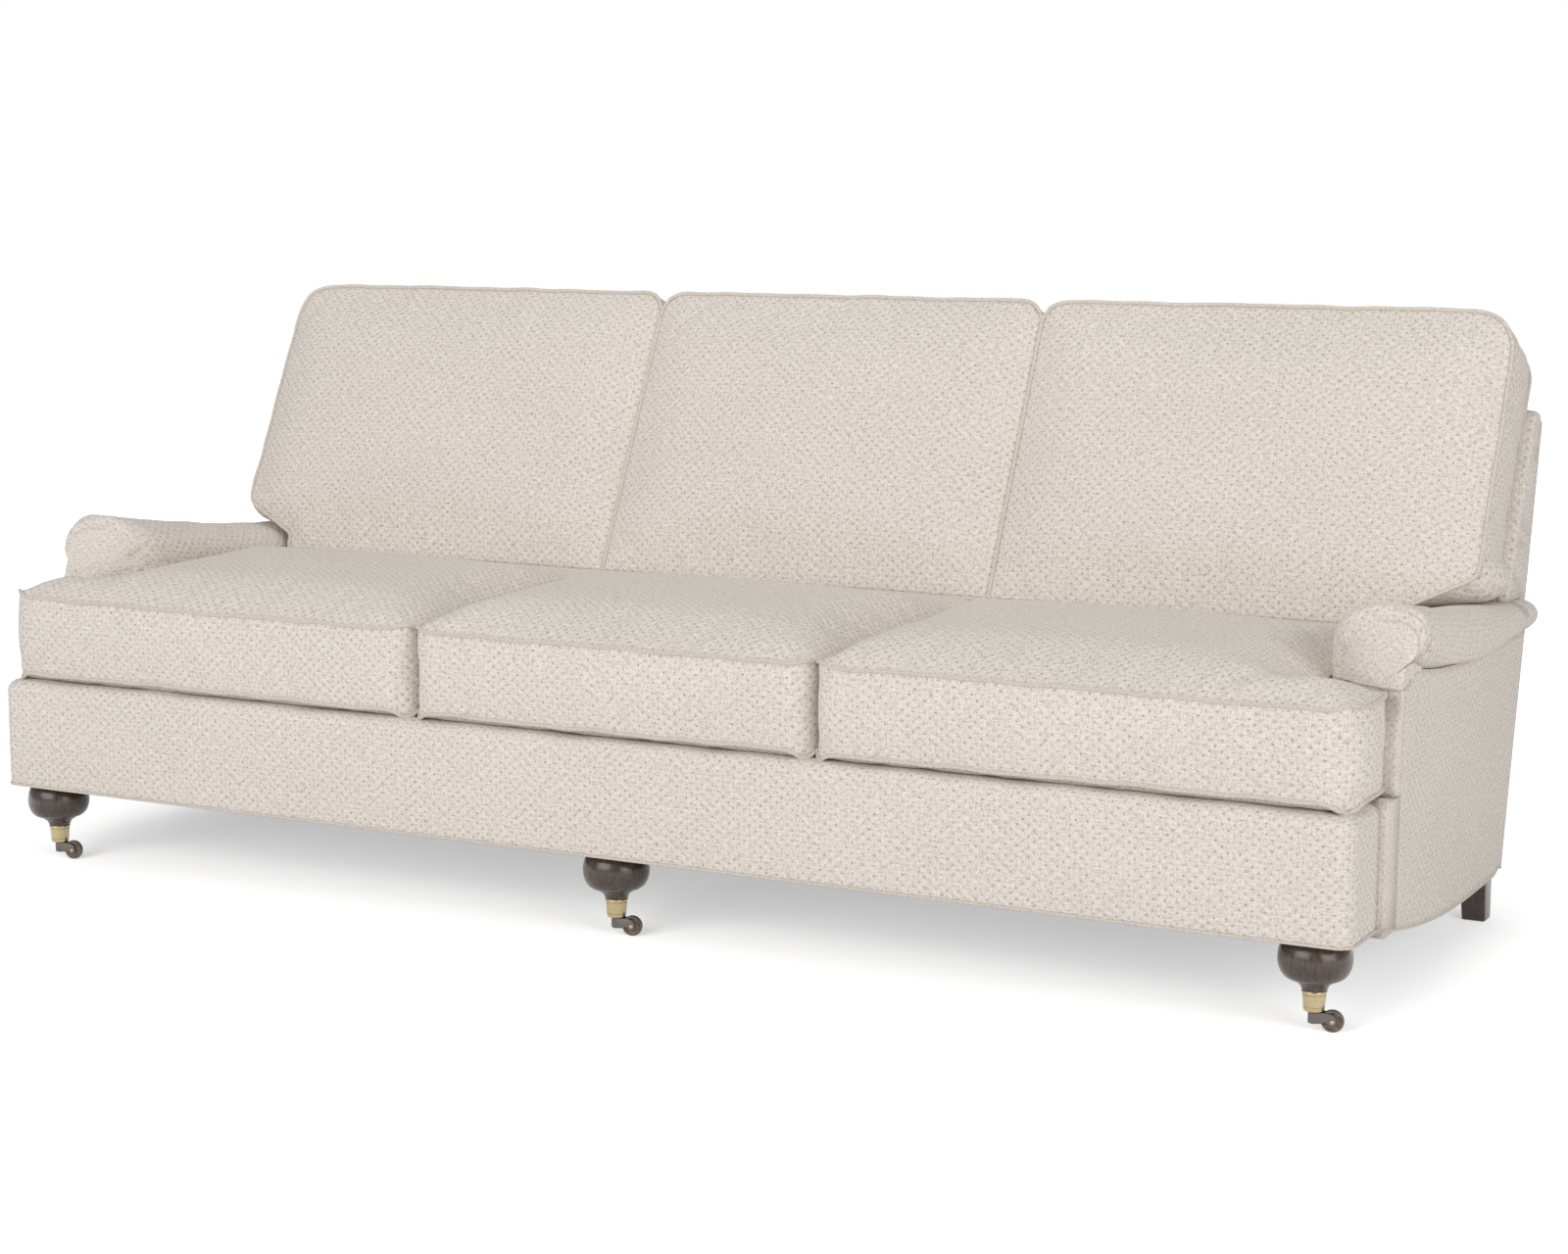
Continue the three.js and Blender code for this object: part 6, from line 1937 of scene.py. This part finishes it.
@dataclass
class CastorLeg:
    """Turned front leg in its brass cup, with the castor below."""

    word: str
    x: float
    setback: float = 60.0
    ball: float = 53.4
    ball_level: float = 107.0
    neck: float = 18.0
    shoulder: float = 27.0
    shoulder_level: float = 74.0
    neck_level: float = 60.8
    cup_top: float = 60.5
    cup_foot: float = 30.0
    trail: float = 26.5
    trail_turn: float = math.radians(11)
    wheel: float = 16.6
    wheel_width: float = 11.0
    wheel_level: float = 16.4
    horn_top: float = 28.6

    def placed(self, part: Shell) -> Shell:
        """Moves a part from the leg's own axis to its place."""
        return part[0] + (self.x, self.setback, 0), part[1]

    def trailed(self, part: Shell) -> Shell:
        """Turns a castor part to the way it trails and moves it to its place."""
        sine, cosine = math.sin(self.trail_turn), math.cos(self.trail_turn)
        spots = part[0].copy()
        spots[:, 0] = part[0][:, 0] * cosine - part[0][:, 1] * sine
        spots[:, 1] = part[0][:, 0] * sine + part[0][:, 1] * cosine
        return self.placed((spots, part[1]))

    def build_leg(self) -> None:
        """Turns the leg: ball, shoulder bead and flared neck."""
        profile: list[Point] = [(0, 140.7), (36, 140.7)]
        for k in range(1, 13):
            t = k / 12 * math.pi / 2
            profile.append((mix(36, self.ball, math.sin(t)), mix(self.ball_level, 137.7, math.cos(t))))
        for k in range(1, 15):
            t = k / 14 * math.pi / 2
            profile.append((mix(self.shoulder + 1, self.ball, math.cos(t) ** 0.8),
                            mix(self.ball_level, self.shoulder_level + 2.2, math.sin(t))))
        profile += [(self.shoulder + 0.2, self.shoulder_level + 1.6),
                    (self.shoulder + 1.3, self.shoulder_level + 0.9),
                    (self.shoulder + 1.4, self.shoulder_level - 0.4),
                    (self.shoulder + 0.4, self.shoulder_level - 1.4)]
        for k in range(1, 10):
            share = k / 9
            profile.append((mix(self.shoulder, self.neck, math.sqrt(share)),
                            mix(self.shoulder_level - 1.6, self.neck_level, share)))
        profile += [(15.4, self.neck_level), (13.4, 34.0), (0, 34.0)]
        part = lathe(profile, 56)
        settle(hard(f"{self.word}_turned_leg", [self.placed(part)], ESPRESSO),
               "espresso_wood", f"{self.word}_front_leg")

    def build_cup(self) -> None:
        """Makes the brass cup with its bead, fine line and two screws."""
        top, foot = self.cup_top, self.cup_foot
        wall = lambda z: mix(15.0, 17.4, (z - foot) / (top - foot))
        profile: list[Point] = [(4.3, foot), (13.6, foot), (14.8, foot + 0.9), (wall(foot + 4), foot + 4),
                                (wall(foot + 6.2), foot + 6.2), (wall(foot + 6.6) - 0.5, foot + 6.6),
                                 (wall(foot + 7), foot + 7),
                                (wall(top - 6.6), top - 6.6), (wall(top - 6.2) - 0.6, top - 6.2),
                                 (wall(top - 5.6), top - 5.6),
                                (wall(top - 3.6), top - 3.6)]
        for k in range(7):
            t = math.pi * (k / 6 - 0.5)
            profile.append((wall(top) + 0.1 + 1.0 * math.cos(t), top - 1.6 + 1.5 * math.sin(t)))
        profile += [(wall(top) - 1.6, top), (wall(foot + 3) - 1.6, foot + 3), (4.3, foot + 3), (4.3, foot)]
        settle(hard(f"{self.word}_cup", [self.placed(lathe(profile, 48))], BRASS, 24), "antique_brass",
               f"{self.word}_brass_cup")
        middle = mix(foot, top, 0.62)
        spots = [(self.x + (wall(middle) + 0.1) * math.sin(a),
                  self.setback - (wall(middle) + 0.1) * math.cos(a), middle)
                 for a in (math.radians(24), math.radians(204))]
        settle(Fixings().set(f"{self.word}_cup_screws", to_frame(spots),
                             to_frame([(self.x, self.setback, middle)])[0]),
               "antique_brass")

    def plate_line(self, out: float) -> np.ndarray:
        """Outline of the comma plate, X along the trail and Z, drawn in by out millimetres."""
        foot, eye = 12.6, 6.0 - out
        level, trail = self.wheel_level, self.trail
        heel, waist, toe = (trail * s for s in (0.45, 0.62, 0.8))
        points: list[Point] = [(0, foot + out), (heel, foot + out)]
        corner, end = (waist, level + 1.1), (toe, level - eye * 0.75)
        for k in range(1, 7):
            t = k / 6
            points.append(bend(points[1], corner, end, t))
        for k in range(19):
            a = mix(-math.pi * 0.75, 0, k / 18)
            points.append((trail + eye * math.cos(a), level + eye * math.sin(a)))
        last, tip, stop = points[-1], (trail + eye, self.horn_top - out), (waist, self.horn_top - out)
        for k in range(1, 11):
            t = k / 10
            points.append(tuple((1 - t) ** 2 * last[i] + 2 * t * (1 - t) * tip[i] + t * t * stop[i] for i in (0, 1)))
        points.append((0, self.horn_top - out))
        return np.array(points)

    def build_castor(self) -> None:
        """Makes the horn with its two comma plates, the axle's rivet heads and the wheel."""
        boss = lathe([(0, 11.5), (6.4, 11.5), (8.2, 12.6), (8.6, 14.2), (8.6, 27.2),
                      (7.9, 28.4), (6.6, 29.4), (4.0, 29.7),
                      (4.0, 68.0), (0, 68.0)], 32)
        parts = [self.trailed(boss)]
        half = self.wheel_width / 2 + 0.6
        for sign in (-1, 1):
            rings = []
            for depth, out in ((0, 0.0), (1.6, 0.0), (2.0, 0.25), (2.2, 0.7)):
                line = self.plate_line(out)
                rings.append(np.column_stack([line[:, 0], np.full(len(line), sign * (half + depth)), line[:, 1]]))
            count = len(rings[0])
            faces = [[r * count + k, r * count + (k + 1) % count,
                      (r + 1) * count + (k + 1) % count, (r + 1) * count + k]
                     for r in range(3) for k in range(count)]
            faces += [list(range(count)), list(range(3 * count, 4 * count))]
            parts.append(self.trailed((np.vstack(rings), faces)))
        settle(hard(f"{self.word}_horn", parts, BRONZE, 30), "antique_brass", f"{self.word}_castor_horn",
               body=f"{self.word}_castor")
        end = half + 2.2
        head: list[Point] = [(0, -end - 1.35), (1.6, -end - 1.25), (2.6, -end - 0.8), (3.2, -end - 0.1), (2.0, -end)]
        profile = head + [(r, -y) for r, y in reversed(head)]
        settle(hard(f"{self.word}_axle", [self.wheeled(lathe(profile, 24))], BRASS, 40), "antique_brass",
               f"{self.word}_castor_axle", body=f"{self.word}_castor")
        radius, width = self.wheel, self.wheel_width / 2
        profile = [(2.3, -width + 1.4), (5.2, -width + 1.4), (5.6, -width + 2.2),
                   (10.6, -width + 2.2), (11.2, -width + 0.6)]
        rim: list[Point] = [(13.0, -width), (14.4, -width + 0.15)]
        for k in range(9):
            t = math.pi * (k / 8 - 0.5)
            rim.append((radius - 2.1 + 2.1 * math.cos(t), (width - 0.4) * math.sin(t)))
        rim += [(14.4, width - 0.15), (13.0, width)]
        profile += rim + [(11.2, width - 0.6), (10.6, width - 2.2), (5.6, width - 2.2),
                          (5.2, width - 1.4), (2.3, width - 1.4),
                          (2.3, -width + 1.4)]
        wheel = hard(f"{self.word}_wheel", [self.wheeled(lathe(profile, 48))], BRONZE, 30)
        wheel.data.materials.append(RIM.material())
        centre = to_frame([self.wheel_centre])[0]
        way = np.array([-math.sin(self.trail_turn), math.cos(self.trail_turn), 0])
        for polygon in wheel.data.polygons:
            away = np.array(polygon.center) - centre
            reach = float(np.linalg.norm(away - way * float(away @ way))) * 1000
            if 11.6 < reach < 14.6:
                polygon.material_index = 1
        settle(wheel, "dark_bronze", f"{self.word}_castor_wheel", body=f"{self.word}_wheel")

    @property
    def wheel_centre(self) -> Spot:
        """Middle of the wheel in maker's millimetres."""
        return (self.x + self.trail * math.cos(self.trail_turn),
                self.setback + self.trail * math.sin(self.trail_turn),
                self.wheel_level)

    def wheeled(self, part: Shell) -> Shell:
        """Lays a turned part on the axle."""
        spots = part[0][:, [0, 2, 1]].copy()
        spots[:, 0] += self.trail
        spots[:, 2] += self.wheel_level
        return self.trailed((spots, [face[::-1] for face in part[1]]))

    def build(self) -> None:
        """Makes every piece of the leg and its castor."""
        self.build_leg()
        self.build_cup()
        self.build_castor()


@dataclass(frozen=True)
class Fixings:
    """Small round headed screws set on a surface."""

    radius: float = 1.5
    height: float = 0.7

    def tree(self) -> bpy.types.NodeTree:
        """Node tree of the screws, made once.

        Returns:
            A tree with the inputs Radius, Height, Middle and Finish.
        """
        found = bpy.data.node_groups.get("screws_on_points")
        if found:
            return found
        made = bpy.data.node_groups.new("screws_on_points", "GeometryNodeTree")
        face = made.interface
        face.new_socket("Points", in_out="INPUT", socket_type="NodeSocketGeometry")
        for label, kind in (("Radius", "NodeSocketFloat"), ("Height", "NodeSocketFloat"),
                            ("Middle", "NodeSocketVector"),
                            ("Finish", "NodeSocketMaterial")):
            face.new_socket(label, in_out="INPUT", socket_type=kind)
        face.new_socket("Screws", in_out="OUTPUT", socket_type="NodeSocketGeometry")
        given = add(made, "NodeGroupInput").outputs
        ball = add(made, "GeometryNodeMeshUVSphere",
                   {"Segments": 14, "Rings": 8, "Radius": given["Radius"]}).outputs[0]
        place = add(made, "GeometryNodeInputPosition").outputs[0]
        away = add(made, "ShaderNodeVectorMath", {0: place, 1: given["Middle"]}, operation="SUBTRACT").outputs[0]
        turn = add(made, "FunctionNodeAlignRotationToVector", {"Vector": away}, axis="Z")
        ratio = add(made, "ShaderNodeMath", {0: given["Height"], 1: given["Radius"]}, operation="DIVIDE").outputs[0]
        size = add(made, "ShaderNodeCombineXYZ", {"X": 1.0, "Y": 1.0, "Z": ratio}).outputs[0]
        copies = add(made, "GeometryNodeInstanceOnPoints", {
            "Points": given["Points"], "Instance": ball, "Rotation": turn.outputs[0], "Scale": size})
        soft = add(made, "GeometryNodeSetShadeSmooth", {"Geometry": copies.outputs[0]}).outputs[0]
        real = add(made, "GeometryNodeRealizeInstances", {"Geometry": soft}).outputs[0]
        done = add(made, "GeometryNodeSetMaterial", {"Geometry": real, "Material": given["Finish"]}).outputs[0]
        add(made, "NodeGroupOutput", {"Screws": done})
        return made

    def set(self, name: str, spots: np.ndarray, middle: np.ndarray) -> bpy.types.Object:
        """Makes screws at points in metres, each facing away from the middle."""
        mesh = bpy.data.meshes.new(name)
        mesh.from_pydata(spots.tolist(), [], [])
        return grown(mesh, name, self.tree(), {
            "Radius": self.radius / 1000, "Height": self.height / 1000, "Middle": middle.tolist()}, BRASS)


@dataclass
class RearLeg:
    """Square tapered rear leg with softened edges, raked to the rear."""

    side: Side
    x: float = 1190.0
    y: float = 785.0
    half: float = 22.0
    taper: float = 3.0
    rake: float = 15.0
    bevel: float = 3.0
    top: float = 95.0

    def build(self) -> None:
        """Makes the leg."""
        rings = []
        for share, extra in ((0, 1.2), (0.012, 0.0), (0.25, 0.0), (0.5, 0.0), (0.75, 0.0), (1, 0.0)):
            half = self.half - self.taper * (1 - share) - extra
            soft = half - self.bevel
            spots = []
            for quarter in range(4):
                for k in range(5):
                    t = (quarter + k / 4) * math.pi / 2
                    cx, cy = (soft if quarter in (0, 3) else -soft), (soft if quarter in (0, 1) else -soft)
                    spots.append((self.x + cx + self.bevel * math.cos(t), self.y + cy + self.rake * (1 - share)
                                  + self.bevel * math.sin(t), self.top * share))
            rings.append(np.array(spots))
        count = len(rings[0])
        faces = [[r * count + k, r * count + (k + 1) % count, (r + 1) * count + (k + 1) % count, (r + 1) * count + k]
                 for r in range(len(rings) - 1) for k in range(count)]
        faces += [list(range(count)), list(range((len(rings) - 1) * count, len(rings) * count))]
        spots = np.vstack(rings)
        spots[:, 0] *= self.side.value
        settle(hard(f"{self.side.word}_square_leg", [(spots, faces)], ESPRESSO, 40), "espresso_wood",
               f"{self.side.word}_rear_leg")


@dataclass
class Studio:
    """Camera at the photograph's angle, soft lamps and a white paper floor."""

    camera: Spot = (2.3582, -4.3675, 1.2050)
    tilt: float = 8.80
    turn: float = 27.656
    lens: float = 67.5

    def build(self) -> None:
        """Makes the camera, lamps, world and floor."""
        scene = bpy.context.scene
        eye = bpy.data.objects.new("camera", bpy.data.cameras.new("camera"))
        eye.data.sensor_width, eye.data.lens = 36.0, self.lens
        eye.data.clip_end = 60.0
        eye.location = self.camera
        eye.rotation_euler = (math.radians(90 - self.tilt), 0, math.radians(self.turn))
        scene.collection.objects.link(eye)
        scene.camera = eye
        scene.view_settings.view_transform = "Standard"
        lamps = (("key_lamp", (-1.4, -5.4, 2.3), (0.3, 0, 0.4), 4.6, 2.6, 132.0),
                 ("fill_lamp", (4.8, -2.6, 1.5), (0.6, 0.1, 0.35), 3.2, 2.4, 78.0),
                 ("top_lamp", (0.2, 0.4, 3.6), (0.2, 0.1, 0), 4.0, 2.4, 21.0))
        for name, place, aim, wide, tall, power in lamps:
            lamp = bpy.data.lights.new(name, "AREA")
            lamp.shape, lamp.size, lamp.size_y, lamp.energy = "RECTANGLE", wide, tall, power
            holder = bpy.data.objects.new(name, lamp)
            holder.location = place
            holder.rotation_euler = (Vector(aim) - Vector(place)).to_track_quat("-Z", "Y").to_euler()
            scene.collection.objects.link(holder)
        world = bpy.data.worlds.new("white_studio")
        scene.world = world
        world.use_nodes = True
        tree = world.node_tree
        tree.nodes.clear()
        path = add(tree, "ShaderNodeLightPath").outputs
        seen = add(tree, "ShaderNodeMath", {0: path["Is Camera Ray"], 1: path["Is Transmission Ray"]},
                   operation="MAXIMUM")
        level = add(tree, "ShaderNodeMapRange", {"Value": seen.outputs[0], "To Min": 0.42, "To Max": 1.0}).outputs[0]
        back = add(tree, "ShaderNodeBackground", {"Color": (1, 1, 1, 1), "Strength": level}).outputs[0]
        add(tree, "ShaderNodeOutputWorld", {"Surface": back})
        mesh = bpy.data.meshes.new("paper_floor")
        half = 14.0
        mesh.from_pydata([(-half, -half, 0), (half, -half, 0), (half, half, 0), (-half, half, 0)], [], [[0, 1, 2, 3]])
        floor = dress(mesh, "paper_floor", PAPER)


def dress_timber() -> None:
    """Gives the carried-over CAD nodes of timber and webbing their own finishes."""
    for name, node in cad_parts.items():
        finish = None
        if "webbing" in name:
            finish = JUTE
        elif any(word in name for word in ("rail", "stretcher", "post", "upright", "board", "block")):
            finish = TIMBER
        if finish is None:
            continue
        for slot in node.material_slots:
            slot.material = finish.material()
        LOG.info("%s takes %s", name, finish.name)


def main() -> None:
    """Builds the sofa piece by piece."""
    logging.basicConfig(level=logging.INFO, format="%(message)s")
    Studio().build()
    cushions: list[Cushion] = []
    for word, sign, seed in (("left", -1, 1.7), ("middle", 0, 4.1), ("right", 1, 7.9)):
        cushions.append(SeatCushion(f"{word}_seat", f"{word}_seat", seed, side=sign))
        cushions.append(BackCushion(f"{word}_back", f"{word}_back", seed + 0.6, side=sign, fill=0.8))
    for cushion in cushions:
        cushion.build()
        LOG.info("%s is sewn", cushion.name)
    fill_cushions(cushions)
    for cushion in cushions:
        cushion.finish(f"{cushion.name}_cushion")
    FrontBorder().build()
    deck = Deck()
    deck.build()
    deck.build_cambric()
    back = FixedBack()
    back.build()
    back.build_panel()
    for side in Side:
        RollArm(side).build()
        RearLeg(side).build()
    for word, x in (("left", -1150.0), ("centre", 0.0), ("right", 1150.0)):
        CastorLeg(word, x).build()
    dress_timber()


if __name__ == "__main__":
    main()
